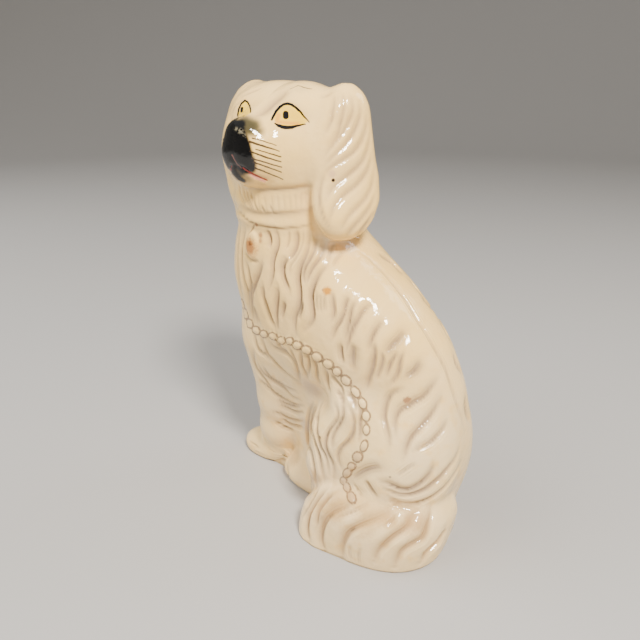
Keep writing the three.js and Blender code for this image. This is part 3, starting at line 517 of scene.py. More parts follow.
# fine locks
strokes("""
258,278 255,286 253,293
289,232 288.5,241 286,249
303,231 303,241 300,250 295.5,258 290.5,266 289.5,275
317.5,294 316.5,303 318,312
321,295 320.5,304 321,313
325,295 324,304 324.5,312
335,243 331,252 328,262
344,252 338,258 333,266
415,464 409,468 403,472 398,476
353,483 358,491 362,497
411,281 416,287 421,294
441,324 446,331 449,338
362,253 372,261 384,273 396,287 407,302 417,319 425,331 433,345 440,357 446,369 450,381 454,394 458,407
    462,419 465,432
""", 2.6, 1.4)
# broad folds
strokes("""
353,345 352.5,353 352,361 353,370
405,331 399,339 391.5,347 386,355
420,361 417,369 412,374 405,377
352,479 360,473.5 370,469.5 381,467.5
""", 8.0, 3.0)
# knee
strokes("""
313,403 309,411 307,420 306,430 307,441 310,453 312,464 314,475 316,488
317,404 312,413 310,422 311,432 314,443 317,453 319,462 321,472 324,481
321,404 317,412 316,421 315,431 317,440 319.5,448 323.5,455 326.5,463 328,473
334,404 336.5,411 336,419 332,425 327.5,431 324.5,439 324,447 327,455 331,463 333,471 333,482
341,402 342,410 341,418 337.5,425.5 333,433 331,441 332,449
347,405 351,412 353,421 352.5,429 350.5,436 346,442.5 340.5,448 337,455 337.5,462 341,469
358,405 360,413 359,423 359,432 358,440
336,391 340,397 343,405
347,393 352,400 356,409
""", 3.8, 3.0, -0.35)
# feathering of the front leg
strokes("""
255,335 256,343 259,350 265,355 270,360
263,340 264.5,347 267.5,354 273,360 280,367.5 287,374 294,379 300,383
271,343 274,347 280,350 287,354 292,359.5 296,366 299,374 300,382
277,344 282.5,349.5 288,353
290,349 293,356 296,364 298,372 299,380
301,351 301,358 302,366 305,372 308,379
303,350 306.5,354 308.5,360 309,368 308,376
311,357 315,362.5 316.5,370 317,377 320,384
327,371 327,378 328,385 330,391
332,375 336,381 341,388 344,396
254,352 254,361 257,369 262,376 268,384 272,389
259,366 263,373 267.5,377.5 274,381.5 281,386 287,391 293,397 300,400
264,368 268,375 274,380 281,384 288,388 296,391
260,380 265,385 272,391 279,396 287,401 294,404.5 303,405.5
278,400 285,404 292,406.5 300,407
280,405 287,408.5 295,412 303,412
273,412 280,414 288,418 296,420.5 303,421
283,419 289,423 296,426 302,427
275,421 281,425 288,428.5 293,430
""", 3.4, 2.7, 0.35)
# tail
strokes("""
325,491 318,497.5 313,505 309,513.5 307,523 307,532 309,541
333,494 327,498 321.5,504.5 317.5,511 316,520 316,528
352,505 344,508 336,511.5 330,515.5 325.5,520.5 322.5,527 321,535 321.5,543 325,551
392,512 382,517 372,521.5 362,526 354,530 348,534.5 344,541 342,549 342.5,558
417,512 411.5,519 409.5,525 404,531 397,536 390,541.5 384,547 378,553 374,562
431,509 430.5,518 429,526 427,534 423,541 414,546 405,551 399.5,557 395,567
446,530 443,537 439,544 433,550 427,555.5 422,562
""", 6.0, 4.4, 0.4)
# finer hair of the tail
strokes("""
318,489 312.5,497 306,508 302,517
368,504 360,508 352,511.5 344,514.5 336,518
396,515 392,521 386,526
""", 3.4, 2.4)
# tail tip
strokes("""
350,545 349,553 351,560
360,548 358,556 359,564
""", 2.6, 0.9)
# toes
strokes("""
251.5,441 251,447 252.5,453
286,463 287,470 288.5,477
255,442 256,449 258,456
""", 2.6, 2.0)

# locket edge: a groove, its brown a painted shade under the raised locket
strokes("""
245.5,253.5 249.7,258.5 254.7,261.3 258.5,261
""", 2.2, 1.2, tint=0.5, hair=False)
# locket ring
strokes("""
254.7,223.8 253,228.3 250.5,233.3
""", 1.4, 0.5, tint=1.0, hair=False)

# crease under the jaw
strokes("""
244,187 256,190 270,190.5 285,190 300,188.5 312,186
""", 4.0, 1.6, hair=False)
# onsets of the ears
strokes("""
240.8,96 250,92 260,88.4
332.5,91 326.7,94.7 320,96.8
""", 3.0, 1.2, hair=False)
# collar edge
strokes("""
238,209 241.3,213.3 246.3,219 251.3,222.5 255.5,224.2 261.3,225.4 268,226.7 276.3,228 284.7,228 293,227.3
    301.3,226.3 310,224
""", 1.8, 1.2, 0.4, tint=0.9, hair=False)
# groove of the ruff, its faint brown a painted shade under the roll
strokes("""
242,205 247,209 254,212 262,213.2 272,213.6 284,213.2 296,212 306,210 314,206
""", 3.6, 1.2, 0.4, tint=0.15, hair=False)

# plain side: fewer, softer waves
plain_locks([[-72, 216], [-76, 184], [-70, 152]], [[2, 216], [10, 184], [10, 152]], 7)
plain_locks([[22, 205], [32, 174], [30, 142]], [[82, 158], [96, 124], [98, 96]], 7)
plain_locks([[14, 138], [22, 108], [12, 80]], [[98, 92], [101, 66], [92, 40]], 7)

# head, with the mouth, eyelids and ears alike on both sides: edge of the mouth
strokes("""
231,166 239,166.5 244,169 249,173 256,176.5 262,178.6 268,180.5
""", 2.4, 1.8, hair=False, mirrored=True)
# eyelids
strokes("""
271.7,119.7 275.8,111.3 279.6,106.8 287.5,103.4 295.8,107.6 303.3,115.5 309.2,122.2
275,123.4 282.5,127.2 291.7,128 300.8,125.1 305.4,124.3
""", 2.0, 0.6, hair=False, mirrored=True)
# furrow of the brow
strokes("""
287,90 280,96.5 273,102 268,107 262,112 256,115
""", 9, 2.4, hair=False)
# ear locks
strokes("""
334,97 334,104 332.5,112 331.7,119.4 328.5,127 326,133
343,94 344.3,101 344.4,108.3 342.8,117.2 341,123.9 338.9,132.8 335,140 329,147
351,97 353.5,106 353,114 350,121 346,129 341,136 336,142 329,150 325,157
360,104 361,113 359.5,121 356.5,129 352,137 346,145 339,152 331,159 325,166
367,118 367,128 364,138 360,146 354,153 347,158 339,163 331,168 326,174
370,136 369,147 366,157 361,165 354,172 346,178 338,184 331,191 327,199
371,158 369,169 364,178 357,186 349,192 342,198 336,205 332,213 330,221
374,176 372,188 367,198 360,206 353,213 347,220 342,228
375,196 371,207 365,216 358,224 352,231 347,237
374,213 369,222 363,230 357,237
324,176 320,188 319,200 321,211 325,221 330,229
""", 3.8, 1.8, 0.3, mirrored=True)
# finer hair of the ears
strokes("""
338,95 338.5,103 337.5,112 336,120
348,104 348,113 345.5,122 342,131
356,112 355,121 351,130 346,138
363,128 361,137 356,146 350,152
366,148 363,156 357,163 350,168
365,170 359,179 352,185
""", 2.0, 0.5, mirrored=True)
# ruff locks
strokes("""
239.3,185 239.8,192.5 242.2,199 245.5,205.8
243,186 243.8,192.5 245.5,199 248.8,205 252.2,210
247.2,190 247.6,196.7 249.7,202.5 253,209
253.8,195.8 253.4,201.7 255.5,207.5 258.8,212
261.3,206.5 262.5,209.5 264.7,212.5
269.7,205.7 271,209 273,212.5
251,192 251.3,198 252.5,203
""", 2.2, 1.3)
# finer hair of the ruff
strokes("""
258,196 258.5,204 260.5,211
264,195 265,203 267,211
271,195 272,203 273.5,212
277,194 278,203 279,212
283,194 284,203 285,212
289,194 290,203 290.5,212
295,193 295.5,202 296,211
301,192 301,201 301,210
306,191 306,199 306,208
""", 2.0, 0.4)


STRAND_WIDTH = 2.4              # millimetres from one fine strand to the next
STRAND_REACH = 5.0              # how far from a line of hair its fine strands are followed


def cuts(points, normals):
    """Depth cut, depth of its narrow core, brown, distance to the nearest line of hair and
    strength of the fine strands beside it, at each point. The cut is the deepest of all marks:
    deep (1 - d)^1.5 with d the distance over the reach, which is short on the steep side and
    long on the gentle one, faded to both ends."""
    depth, core, brown, comb = np.zeros((4, points.shape[1]))
    strand = np.full(points.shape[1], STRAND_REACH)
    for line, reach, deep, lean, tint, hair in MARKS:
        room = max(reach * 1.5, STRAND_REACH if hair else 0)
        low, high = line.min(1) - room, line.max(1) + room
        near = np.flatnonzero(((points > low[:, None]) & (points < high[:, None])).all(0))
        if not len(near):
            continue
        p = points[:, near, None]
        a, b = line[:, None, :-1], line[:, None, 1:]
        run = b - a
        t = np.clip(((p - a) * run).sum(0) / ((run * run).sum(0) + 1e-9), 0, 1)
        off = p - a - t * run
        far = np.sqrt((off * off).sum(0))
        best = far.argmin(1)
        pick = np.arange(len(near)), best
        far = far[pick]
        along = (best + t[pick]) / (line.shape[1] - 1)
        if hair:
            ends = np.abs(2 * along - 1)
            closer = far < strand[near]
            strand[near[closer]] = far[closer]
            comb[near[closer]] = (step(STRAND_REACH, 3, far) * step(1, 0.4, ends))[closer]
        if lean:
            way = np.cross(run[:, 0, best], normals[:, near], axis=0)
            side = np.sign((way * off[:, pick[0], best]).sum(0))
            far = far / (1 + lean * side)
        fade = np.sin(np.pi * np.clip(along, 0.02, 0.98)) ** 0.6
        inside = np.clip(1 - far / reach, 0, 1)
        depth[near] = np.maximum(depth[near], deep * fade * inside ** 1.5)
        core[near] = np.maximum(core[near], deep * fade * inside ** 3)
        brown[near] = np.maximum(brown[near], tint * fade * np.clip(1.5 * inside ** 2, 0, 1))
    return depth, core, brown, strand, comb


# chain and pendant, flat ovals on the skin: middle, length and width of each link in pixels
LINKS = pixels("""
242.5,304,9,6 245.5,314,9,6 249.5,323.5,9,7 256,330.5,9,7 264,334,8,7 272.8,336.3,9,6.5 281.3,340.5,8,7
289.6,341,7,7 297.3,345.3,9,8 306.5,350,10,8 317,357,11,8 328,364,11,8 337,371.5,9,8 346,380.5,11,8
355.5,392,12,7.5 362.5,403.5,11,7.5 366,416,10,8 366.3,430,10,7 364,446,11,7 357.5,457,10,9.5
351.5,466.3,7.5,7.5 347,473,9,7.5 343.3,480.5,7,6.5 347,487.5,9.5,6.5 351.5,497.5,12,8
""")
LINK_RISE, LINK_MORE = 0.3, 0.9  # at pixel column 246, and how much more from column 262 on
LINK_GROOVE = 0.5
LINK_DEEP = 4.5                 # half thickness away from the camera
LINK_ROOM = 14                  # beyond this a link changes nothing
PENDANT_AT = [[252.5, 245]]
PENDANT_WIDE, PENDANT_TALL, PENDANT_DEEP = 7, 12, 14
PENDANT_RISE = 1.9


def picture(points):
    """The pixels of the photograph at which points are seen: their lengths aside and above over
    the length ahead, times the focal length."""
    off = points - EYE_POINT[:, None]
    ahead = AHEAD @ off
    return MIDDLE + FOCAL * (ASIDE @ off) / ahead, MIDDLE - FOCAL * (ABOVE @ off) / ahead


def ovals(points):
    """Least oval radius over all links: the length of the offset from a link's middle in the
    picture, scaled by half its length along the chain and half its width across, or the offset
    away from the camera over LINK_DEEP if that is more; at most 3."""
    table = np.array(LINKS, float)
    middle = seen(table[:, :2])
    run = unit(np.gradient(table[:, :2].T, axis=1))
    u, v = picture(points)
    least = np.full(points.shape[1], 3.0)
    for k, (x, y, long, wide) in enumerate(LINKS):
        near = np.flatnonzero((np.abs(points - middle[:, k:k + 1]) < LINK_ROOM).all(0))
        a, b = u[near] - x, v[near] - y
        along = (a * run[0, k] + b * run[1, k]) * 2 / long
        across = (b * run[0, k] - a * run[1, k]) * 2 / wide
        deep = np.abs(AHEAD @ (points[:, near] - middle[:, k:k + 1])) / LINK_DEEP
        least[near] = np.minimum(least[near], np.maximum(np.hypot(along, across), deep))
    return least


# mesh and object
def add(name, data):
    """A new object of the scene."""
    made = bpy.data.objects.new(name, data)
    bpy.context.scene.collection.objects.link(made)
    return made


def band(levels, turns):
    """Quads between rings of points: two neighbours of a ring with the two above them."""
    i, j = np.mgrid[0:levels - 1, 0:turns]
    a, b = i * turns + j, i * turns + (j + 1) % turns
    return np.stack([a, b, b + turns, a + turns], -1).reshape(-1, 4)


def fan(start, turns, tip):
    """Triangles from a ring of points to a tip: two neighbours of the ring with the tip."""
    j = np.arange(turns)
    return np.stack([start + j, start + (j + 1) % turns, np.full(turns, tip)], -1)


def shell(name, points, *faces):
    """A smooth mesh object in the scene, from points in rows and arrays of faces."""
    mesh = bpy.data.meshes.new(name)
    mesh.from_pydata(points.tolist(), [], sum((part.tolist() for part in faces), []))
    mesh.shade_smooth()
    return add(name, mesh)


def surface(name, p, attributes):
    """A closed mesh from a grid of rings: a fan closes the flat base, another the crown."""
    levels, turns = p.shape[1:]
    crown = p[:, -1, 0]
    ends = np.stack([crown, BASE_MIDDLE], 1)
    points = np.concatenate([p[:, :-1].reshape(3, -1), ends], 1).T / 1000
    cap = fan((levels - 2) * turns, turns, len(points) - 2)
    foot = fan(0, turns, len(points) - 1)[:, [1, 0, 2]]
    piece = shell(name, points, band(levels - 1, turns), cap, foot)
    for key, at_skin in attributes.items():
        values = np.append(at_skin[:len(points) - 1], 0.0).astype(np.float32)
        piece.data.attributes.new(key, "FLOAT", "POINT").data.foreach_set("value", values)
    piece.data.update()
    return piece


lay_strokes()
grid = skin()
flat = grid.reshape(3, -1)
normals = unit(slope(flat))
cut, core, brown, strand, comb = cuts(flat, normals)
cut[:grid.shape[2]] = 0
oval = ovals(flat)
off = flat - seen(PENDANT_AT)
pendant = (off[0] / PENDANT_WIDE) ** 2 + (off[2] / PENDANT_TALL) ** 2 + (off[1] / PENDANT_DEEP) ** 2
raised = (LINK_RISE + LINK_MORE * step(246, 262, picture(flat)[0])) * np.clip(1 - oval ** 2, 0, 1) ** 0.4
raised = raised + PENDANT_RISE * step(1.0, 0.7, np.sqrt(pendant))
clear = step(0.9, 1.2, oval)
cut = cut * clear + LINK_GROOVE * step(0.85, 1.05, oval) * step(1.4, 1.1, oval)
carved = flat + normals * (raised - cut)
corners = np.array([list(v) for v in CAD_BOX]) * 1000
carved = np.clip(carved, corners[0][:, None], corners[1][:, None]).reshape(grid.shape)
dog_piece = surface("spaniel_glazed", carved, {
    "valley": core * clear / 2, "strand": strand, "comb": comb * clear, "brown": brown, "oval": oval,
})
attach(dog_piece, "root")
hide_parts("spaniel")


# shader nodes
def node(tree, kind, *feeds, **settings):
    """Add a node; feeds fill its inputs in order, sockets or plain values, None to pass over."""
    made = tree.nodes.new("ShaderNode" + kind)
    for key, value in settings.items():
        setattr(made, key, value)
    for socket, feed in zip(made.inputs, feeds):
        if isinstance(feed, bpy.types.NodeSocket):
            tree.links.new(feed, socket)
        elif feed is not None:
            socket.default_value = feed
    return made


def maths(tree, operation, *feeds):
    """A Math node's result."""
    return node(tree, "Math", *feeds, operation=operation).outputs[0]


def vectors(tree, operation, *feeds):
    """A Vector Math node's outputs: a vector, and the number of a distance or a product."""
    return node(tree, "VectorMath", *feeds, operation=operation).outputs


def new_finish(name):
    """A new material and its shader."""
    material = bpy.data.materials.new(name)
    material.use_nodes = True
    return material, material.node_tree.nodes["Principled BSDF"]


def smooth(tree, value, low, high, at_low, at_high):
    """Smooth step of a value, from at_low up to low to at_high from high on, cubic between."""
    return node(tree, "MapRange", value, low, high, at_low, at_high,
                interpolation_type="SMOOTHSTEP").outputs[0]


def group(name, inputs, output):
    """A shader node group with named inputs and one named output."""
    tree = bpy.data.node_groups.new(name, "ShaderNodeTree")
    for kind, label in inputs:
        tree.interface.new_socket(label, in_out="INPUT", socket_type="NodeSocket" + kind)
    tree.interface.new_socket(output, in_out="OUTPUT", socket_type="NodeSocketFloat")
    return tree, tree.nodes.new("NodeGroupInput").outputs, tree.nodes.new("NodeGroupOutput").inputs[0]


def soft_edge(tree, far, reach, softness, mask):
    """Put out 1 where far is less than reach and 0 where it is more, with an edge twice as wide
    as the softness."""
    low, high = maths(tree, "SUBTRACT", reach, softness), maths(tree, "ADD", reach, softness)
    tree.links.new(smooth(tree, far, low, high, 1.0, 0.0), mask)


def brush_group():
    """A brush stroke: 1 where the distance from Point to the line From to To is less than a
    width that runs from Start to End, with a soft edge."""
    tree, given, mask = group("brush_stroke", [
        ("Vector", "Point"), ("Vector", "From"), ("Vector", "To"),
        ("Float", "Start"), ("Float", "End"), ("Float", "Softness")], "Mask")
    line = vectors(tree, "SUBTRACT", given[2], given[1])[0]
    away = vectors(tree, "SUBTRACT", given[0], given[1])[0]
    top = vectors(tree, "DOT_PRODUCT", away, line)[1]
    bottom = vectors(tree, "DOT_PRODUCT", line, line)[1]
    share = maths(tree, "DIVIDE", top, maths(tree, "ADD", bottom, 1e-6))
    share = maths(tree, "MINIMUM", maths(tree, "MAXIMUM", share, 0.0), 1.0)
    foot = vectors(tree, "SCALE", line, None, None, share)[0]
    far = vectors(tree, "DISTANCE", away, foot)[1]
    width = maths(tree, "MULTIPLY_ADD", share, maths(tree, "SUBTRACT", given[4], given[3]), given[3])
    soft_edge(tree, far, width, given[5], mask)
    return tree


def spot_group():
    """A spot, for stains and chips and for painted shade: 1 inside Radius of Centre, with an edge made
    ragged by Grain.
    """
    tree, given, mask = group("stain_and_shade_spot", [
        ("Vector", "Point"), ("Vector", "Centre"), ("Float", "Radius"), ("Float", "Softness"),
        ("Float", "Grain"), ("Float", "Ragged")], "Mask")
    far = vectors(tree, "DISTANCE", given[0], given[1])[1]
    rough = maths(tree, "MULTIPLY", maths(tree, "SUBTRACT", given[4], 0.5), given[5])
    far = maths(tree, "ADD", far, rough)
    soft_edge(tree, far, given[2], given[3], mask)
    return tree


# finish: cream glaze with its stains, painted shade in its grooves and hollows, and the painted face
glaze, shader = new_finish("cream_glaze")
tree = glaze.node_tree
BRUSH, SPOT = brush_group(), spot_group()


def times(a, b):
    """Product of two values of the glaze."""
    return maths(tree, "MULTIPLY", a, b)


def ramp(value, low, high):
    """Smooth step of a value: 0 at low, 1 at high; low may be the larger."""
    if low < high:
        return smooth(tree, value, low, high, 0.0, 1.0)
    return smooth(tree, value, high, low, 1.0, 0.0)


def over(factor, under, top):
    """Colour top laid over colour under by a factor."""
    made = tree.nodes.new("ShaderNodeMix")
    made.data_type = "RGBA"
    for socket, feed in zip((made.inputs[0], made.inputs[6], made.inputs[7]), (factor, under, top)):
        if isinstance(feed, bpy.types.NodeSocket):
            tree.links.new(feed, socket)
        else:
            socket.default_value = feed if isinstance(feed, float) else (*feed, 1)
    return made.outputs[2]


def stored(name):
    """A value that the mesh holds at each point."""
    return node(tree, "Attribute", attribute_name=name).outputs["Fac"]


place = node(tree, "TexCoord").outputs["Object"]
point = vectors(tree, "SCALE", place, None, None, 1000.0)[0]
axes = node(tree, "SeparateXYZ", point).outputs
aside = maths(tree, "ABSOLUTE", maths(tree, "SUBTRACT", axes[0], HEAD_X))
paired = node(tree, "CombineXYZ", maths(tree, "ADD", aside, HEAD_X), axes[1], axes[2]).outputs[0]
wobble = node(tree, "TexNoise", paired, None, 0.35, 2.0, normalize=False)
wander = vectors(tree, "SCALE", wobble.outputs["Color"], None, None, 0.16)[0]
brushed_pair = vectors(tree, "ADD", paired, wander)[0]
brushed = vectors(tree, "ADD", point, wander)[0]

FACE_AT = 262, 140              # pixel between the eyes and the nose
FACE_RAY = unit(AHEAD * FOCAL + ASIDE * (FACE_AT[0] - MIDDLE) + ABOVE * (MIDDLE - FACE_AT[1]))
FACE_ASIDE = unit(np.cross(FACE_RAY, [0, 0, 1]))
FACE_ABOVE = np.cross(FACE_ASIDE, FACE_RAY)


def slanted(p):
    """Points of the face as the photograph's camera sees them: their lengths along two cross axes."""
    return np.stack([FACE_ASIDE @ p, FACE_ABOVE @ p, 0 * p[0]])


def lay_flat(position):
    """The same two lengths for a shaded position."""
    lengths = [vectors(tree, "DOT_PRODUCT", position, tuple(way))[1]
               for way in (FACE_ASIDE, FACE_ABOVE)]
    return node(tree, "CombineXYZ", *lengths, 0.0).outputs[0]


both_sides, one_side = lay_flat(brushed_pair), lay_flat(brushed)
HALF_PIXEL = 0.37               # millimetres at the face


def painted(socket, text, softness=0.25):
    """Brush strokes along lines of x,y,width in pixels, one to a row, joined by their greatest mask."""
    mask = None
    for row in rows(text):
        table = np.array(pixels(row))
        ends = slanted(seen(table[:, :2]))
        width = table[:, 2] * HALF_PIXEL
        for k in range(len(table) - 1):
            stroke = node(tree, "Group", socket, tuple(ends[:, k]), tuple(ends[:, k + 1]),
                          width[k], width[k + 1], softness, node_tree=BRUSH).outputs[0]
            mask = stroke if mask is None else maths(tree, "MAXIMUM", mask, stroke)
    return mask


noises = {}
for key, size, detail in (("cloud", 0.018, 3.0), ("patch", 0.045, 3.0),
                          ("mottle", 0.09, 4.0), ("grain", 0.6, 4.0)):
    noises[key] = node(tree, "TexNoise", point, None, size, detail, 0.55).outputs[0]

valley = stored("valley")
brown_line_and_shade = stored("brown")
oval_rim = stored("oval")

pale = over(ramp(noises["cloud"], 0.35, 0.65), (0.96, 0.68, 0.30), (0.97, 0.71, 0.37))
colour = over(ramp(noises["cloud"], 0.35, 0.65), (0.98, 0.64, 0.20), (0.99, 0.67, 0.26))
colour = over(ramp(axes[2], 90.0, 190.0), pale, colour)
colour = over(ramp(noises["mottle"], 0.5, 0.8), colour, (0.95, 0.62, 0.22))
# grooves darkened towards brown: dirt in them and painted shade, warmer low down
valley_grime_and_shade = maths(tree, "MINIMUM", times(maths(tree, "POWER", valley, 0.7), 0.75), 0.85)
grime_and_shade_tone = over(ramp(axes[2], 66.0, 52.0), (0.34, 0.22, 0.13), (0.42, 0.25, 0.11))
colour = over(valley_grime_and_shade, colour, grime_and_shade_tone)
tail_stain = times(ramp(axes[2], 58.0, 50.0), ramp(axes[1], -38.0, -50.0))
tail_stain = times(tail_stain, ramp(axes[2], 22.0, 36.0))
tail_stain = times(tail_stain, ramp(noises["patch"], 0.40, 0.60))
colour = over(times(tail_stain, 0.6), colour, (0.66, 0.42, 0.17))
links = ramp(oval_rim, 1.05, 0.9)
lower = times(links, ramp(axes[2], 100.0, 84.0))
colour = over(times(lower, 0.5), colour, (0.42, 0.24, 0.12))
rim = times(ramp(oval_rim, 0.8, 0.98), ramp(oval_rim, 1.4, 1.12))
rim = times(rim, ramp(noises["grain"], 0.2, 0.5))
colour = over(times(rim, 0.85), colour, (0.20, 0.11, 0.055))
# brown lines: old gilding at the collar and the locket's ring, painted shade under the locket and the ruff
colour = over(times(brown_line_and_shade, 0.85), colour, (0.12, 0.055, 0.02))

# stains and chips, and painted shade: the rows at 312,388 and 304,425 shade the hollow between
# the front leg and the knee, 295,457 is stain and shade between the front leg and the hind paw, and
# 328,245 and 346,243 give the shade under the ear's hem a greyer tone; pixel, then radius in
# millimetres, softness, raggedness and strength, then colour
SPOTS = """
251.5,246.5 6.6,3,5,1 0.46,0.19,0.04
252,243.5 2.2,1.2,3,1 0.1,0.03,0.01
260.5,235 1.8,1.2,2.5,0.85 0.45,0.2,0.07
260.5,241 1.5,1.2,2.5,0.8 0.5,0.24,0.09
256,225 1.6,0.8,1.5,0.8 0.2,0.07,0.02
323,290 0.9,0.5,1,0.8 0.4,0.2,0.08
327,291 2.8,1.2,3,1 0.64,0.27,0.03
407.5,401 3,1,3,0.95 0.44,0.22,0.09
411.5,403 1.6,0.8,1.5,0.8 0.26,0.12,0.05
390,477 0.8,0.5,0.8,0.7 0.18,0.14,0.1
335,510 8,6,8,0.75 0.56,0.34,0.13
322,519 5,4,6,0.6 0.52,0.34,0.16
366,524 8,6,8,0.6 0.62,0.39,0.15
388,519 6,5,8,0.65 0.6,0.36,0.14
416,522 8,6,8,0.7 0.6,0.36,0.15
328,245 7,6,3,0.7 0.84,0.66,0.43
346,243 7,6,3,0.7 0.84,0.66,0.43
327,408 5,4,5,0.45 0.74,0.52,0.2
347,420 4,3,5,0.4 0.74,0.5,0.22
295,457 8,4,7,0.7 0.62,0.42,0.2
312,388 9,6,6,0.55 0.5,0.36,0.26
304,425 7,5,6,0.5 0.54,0.4,0.29
303,88 5,3,6,0.35 0.66,0.48,0.22
319.5,437.5 1.2,0.4,0.5,1 0.02,0.01,0.005
318,432 1.6,1.2,1.5,0.6 0.62,0.38,0.26
333.3,180.3 1.2,0.4,0.5,1 0.02,0.01,0.005
332.2,174 2.4,1.2,2.5,0.5 0.58,0.34,0.24
238.5,238 1,0.6,1,0.6 0.35,0.18,0.05
237.5,260 1,0.6,1,0.6 0.35,0.18,0.05
"""
spots = [pixels(row) for row in rows(SPOTS)]
where = seen([spot[0] for spot in spots])
for k, (_, (radius, softness, ragged, strength), tone) in enumerate(spots):
    mask = node(tree, "Group", point, tuple(where[:, k]), radius, softness, noises["grain"], ragged,
                node_tree=SPOT).outputs[0]
    colour = over(times(mask, strength), colour, tone)

front = ramp(axes[1], -42.0, -46.0)
brow = times(ramp(axes[1], -24.0, -28.0), ramp(axes[2], 292.0, 296.0))
near_eye = times(brow, ramp(axes[0], HEAD_X + 1, HEAD_X + 2))
far_eye = times(brow, ramp(axes[0], HEAD_X - 1, HEAD_X - 2))


JET = (0.004, 0.004, 0.004)      # the nose and the rims of the eyes


def paint(under, mask, region, tone, strength=1.0):
    """Colour laid over another inside a mask and a region of the face."""
    factor = times(times(mask, region), strength)
    return over(factor, under, tone)


near_yellow = painted(one_side, """
286,114,17 286,114.1,17
279,118,9 300,119,9
300,119,8 306,121.5,2
292,112,12 298,117,11
277.5,121,4 303,122,4
283,124,4 299,124,3
""")
near_orange = painted(one_side, """
278.5,115,4 277,121,4
278,122,3 298,124,3
""", 1.2)
near_lids = painted(one_side, """
271.7,119.7,1.8 273.5,115.9,2.4 276,111.3,2.4 279.8,106.8,2.4 283.5,104.4,2.3 287.5,103.5,2.3
    291.7,104.7,2.2 295.8,107.6,2.1 300,111.3,1.9 303.3,115.5,1.5 306.7,119.3,1.1 309.2,122.2,0.7
275,123.4,1.2 278.3,125.6,2.6 282.5,127,3.2 287.5,127.5,3.2 291.7,127.3,2.8 296.7,126,1.9 300.8,125,1.5
    305.4,124.2,0.9
285.7,113.9,5.2 285.8,116.2,5.4
""")
far_yellow = painted(one_side, """
245,105,6 244.5,117,10
240.5,113,5 240,119,5
248,110,4 248,118,5
""")
far_lids = painted(one_side, """
237.3,119.5,1.4 237.7,114.7,1.6 238.9,108.8,1.7 241.4,103.4,1.7 245,100.4,1.7 247.7,102.2,1.7
    249.5,105.5,1.6 250.6,109.5,1.4 250.6,114,1.1 250.2,117,0.8
242,108.2,2.6 241.6,111.2,2.8
""")
olive = painted(both_sides, """
245,124,14 254,126,13
249,129,12 259,131,8
""", 3.2)
olive_dark = painted(both_sides, "244,124,13 251,127,11", 2.6)
black = painted(both_sides, """
241,124,8 233,126,12
238,130,13 233,136,14
239,135,14 242,142,13
235,138,20 235,150,27
240,146,19 242,156,20
240,158,20 246,164,18
248,160,12 251,168,9
242,163,10 249,169,7
""", 1.3)
chin = painted(one_side, "229,163,6 231,168,6 234.5,173,6 239,178,5.5 244,181,4", 1.0)
chin_dark = painted(one_side, "233,165,10 240,172,9", 2.0)
chin_shade = painted(one_side, "238,170,10 247,177,9", 3.5)
nose_wear_and_sheen = painted(one_side, "236,129,2.5 240,131,4 245,134.5,4", 1.2)
whiskers = painted(both_sides, """
252.5,138.2,1.2 262,140.6,1 276.3,145.3,0.7
249.6,141.8,2 263,145.9,1.7 279.2,151.2,0.8
255.8,149.3,0.9 280.8,156.8,1.2
250,151.3,1.3 265,157,1.6 280.8,161.8,1
251.7,158.4,1.4 281.7,167.3,1.1
253.8,162.2,1.5 281.3,172.2,1
255.4,168,1.5 282.9,179.3,0.9
""")
mouth = painted(one_side, "232,155,1.1 234.5,159.5,0.8 237.5,164.5,0.8 241,168,1", 0.25)
red = painted(both_sides, """
243,168,1 247,171,1.2 254,174.5,1.6 259,176.8,1.5 267,180.3,1.2
""", 0.3)
pink = painted(both_sides, "249,173.8,1.4 256,178,2.4 265,181.5,1.6", 0.6)

colour = paint(colour, near_yellow, near_eye, (1.0, 0.62, 0.05))
colour = paint(colour, near_orange, near_eye, (0.80, 0.30, 0.03), 0.7)
colour = paint(colour, far_yellow, far_eye, (1.0, 0.64, 0.05))
colour = paint(colour, olive, front, (0.09, 0.075, 0.03), 0.92)
colour = paint(colour, olive_dark, front, (0.04, 0.034, 0.016), 0.75)
colour = paint(colour, chin_shade, front, (0.16, 0.10, 0.05), 0.75)
colour = paint(colour, chin_dark, front, (0.02, 0.016, 0.012), 0.9)
colour = paint(colour, pink, front, (0.80, 0.30, 0.22), 0.9)
colour = paint(colour, black, front, JET)
colour = paint(colour, chin, front, (0.006, 0.005, 0.004))
# pale tan flecks on the nose: wear of the black and a painted reflection
flecks = times(nose_wear_and_sheen, ramp(noises["grain"], 0.46, 0.56))
colour = paint(colour, flecks, front, (0.30, 0.26, 0.17), 0.55)
colour = paint(colour, mouth, front, (0.30, 0.12, 0.10), 0.55)
off_middle = times(front, ramp(aside, 4.0, 6.0))
colour = paint(colour, red, off_middle, (0.42, 0.03, 0.02), 0.95)
cracks = painted(one_side, """
298.3,85.5,0.6 303.3,87.2,0.9 307.5,88.4,0.9 311.7,88.8,0.5
290,89,0.4 298,85.5,0.6
""", 0.2)
colour = paint(colour, cracks, ramp(axes[2], 312.0, 318.0), (0.10, 0.06, 0.03), 0.8)
colour = paint(colour, whiskers, front, (0.035, 0.02, 0.012), 0.95)
colour = paint(colour, near_lids, near_eye, JET)
colour = paint(colour, far_lids, far_eye, JET)
tree.links.new(colour, shader.inputs["Base Color"])
tree.links.new(node(tree, "MapRange", noises["mottle"], 0.3, 0.7, 0.07, 0.14).outputs[0],
               shader.inputs["Roughness"])
ripple = node(tree, "TexNoise", point, None, 0.16, 2.0, 0.5).outputs[0]
phase = times(stored("strand"), 2 * np.pi / STRAND_WIDTH)
phase = maths(tree, "ADD", phase, times(noises["mottle"], 4.0))
combed = stored("comb")
fine = times(maths(tree, "SINE", phase), combed)
fine = times(fine, ramp(axes[2], 226.0, 216.0))
height = maths(tree, "ADD", times(ripple, 0.5), times(fine, 0.13))
bump = node(tree, "Bump", 1.0, 0.001, None, height)
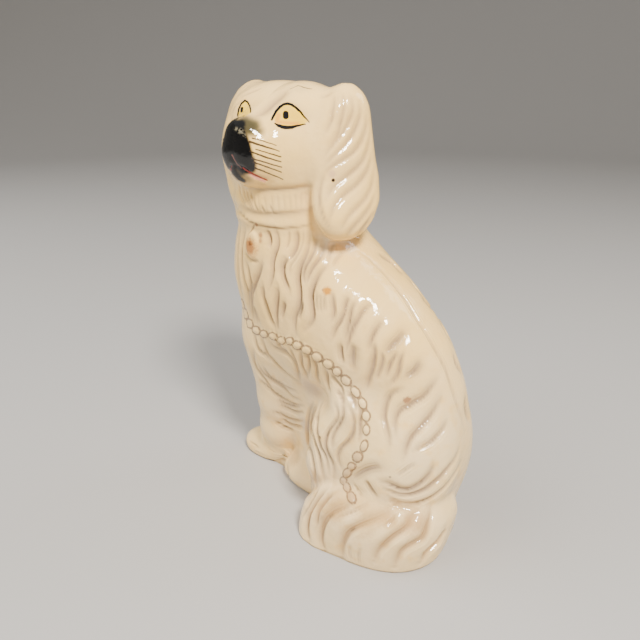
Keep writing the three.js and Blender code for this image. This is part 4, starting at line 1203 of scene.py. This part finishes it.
tree.links.new(bump.outputs["Normal"], shader.inputs["Normal"])
shader.inputs["IOR"].default_value = 1.52
dog_piece.data.materials.append(glaze)


# floor, light and camera
def plain(name, colour, roughness):
    """A single-colour material for the stage."""
    material, shader = new_finish(name)
    shader.inputs["Base Color"].default_value = (*colour, 1)
    shader.inputs["Roughness"].default_value = roughness
    return material


def round_cove(name, flat, bend, height, turns=96, bends=24):
    """A floor that rises to a wall all round: a profile of a level run, a quarter of a circle
    and an upright, revolved about Z; faces look up and inwards. Lengths in metres."""
    a = np.linspace(0, np.pi / 2, bends)
    far = np.concatenate([flat + bend * np.sin(a), [flat + bend]])
    up = np.concatenate([bend * (1 - np.cos(a)), [height]])
    t = np.linspace(0, 2 * np.pi, turns, endpoint=False)
    ring = np.stack([far[:, None] * np.cos(t), far[:, None] * np.sin(t), up[:, None] + 0 * t], -1)
    points = np.concatenate([ring.reshape(-1, 3), [[0, 0, 0]]])
    disc = fan(0, turns, len(points) - 1)
    return shell(name, points, band(len(far), turns)[:, ::-1], disc)


floor = round_cove("floor", 2.2, 1.6, 3.2)
floor.data.materials.append(plain("pale_floor", (0.42, 0.405, 0.385), 0.8))


def lamp(name, place, aim, size, watts, colour=(1, 1, 1), mirrored=True):
    """A square area light at place, in metres, turned towards aim; mirrored if the glaze shows it."""
    light = bpy.data.lights.new(name, "AREA")
    light.size = size
    light.energy = watts
    light.color = colour
    holder = add(name, light)
    holder.location = place
    holder.visible_glossy = mirrored
    holder.rotation_euler = (Vector(aim) - Vector(place)).to_track_quat("-Z", "Y").to_euler()


lamp("key", (0.80, -0.50, 1.25), (0, 0, 0.17), 0.28, 46, (1.0, 0.95, 0.88))
lamp("fill", (-1.0, -0.9, 1.2), (0, 0, 0.17), 2.0, 42, mirrored=False)
lamp("rim", (0.7, 1.0, 1.2), (0, 0, 0.17), 0.6, 6)
world = bpy.data.worlds.new("room")
bpy.context.scene.world = world
world.use_nodes = True
background = world.node_tree.nodes["Background"].inputs
background["Color"].default_value = (1.0, 0.98, 0.95, 1)
background["Strength"].default_value = 0.45

camera = add("camera", bpy.data.cameras.new("camera"))
camera.data.sensor_width = SENSOR
camera.data.lens = SENSOR * FOCAL / (2 * MIDDLE)
turned = np.stack([ASIDE, ABOVE, -AHEAD], 1)
camera.matrix_world = Matrix(turned.tolist()).to_4x4()
camera.location = (EYE_POINT / 1000).tolist()
bpy.context.scene.camera = camera
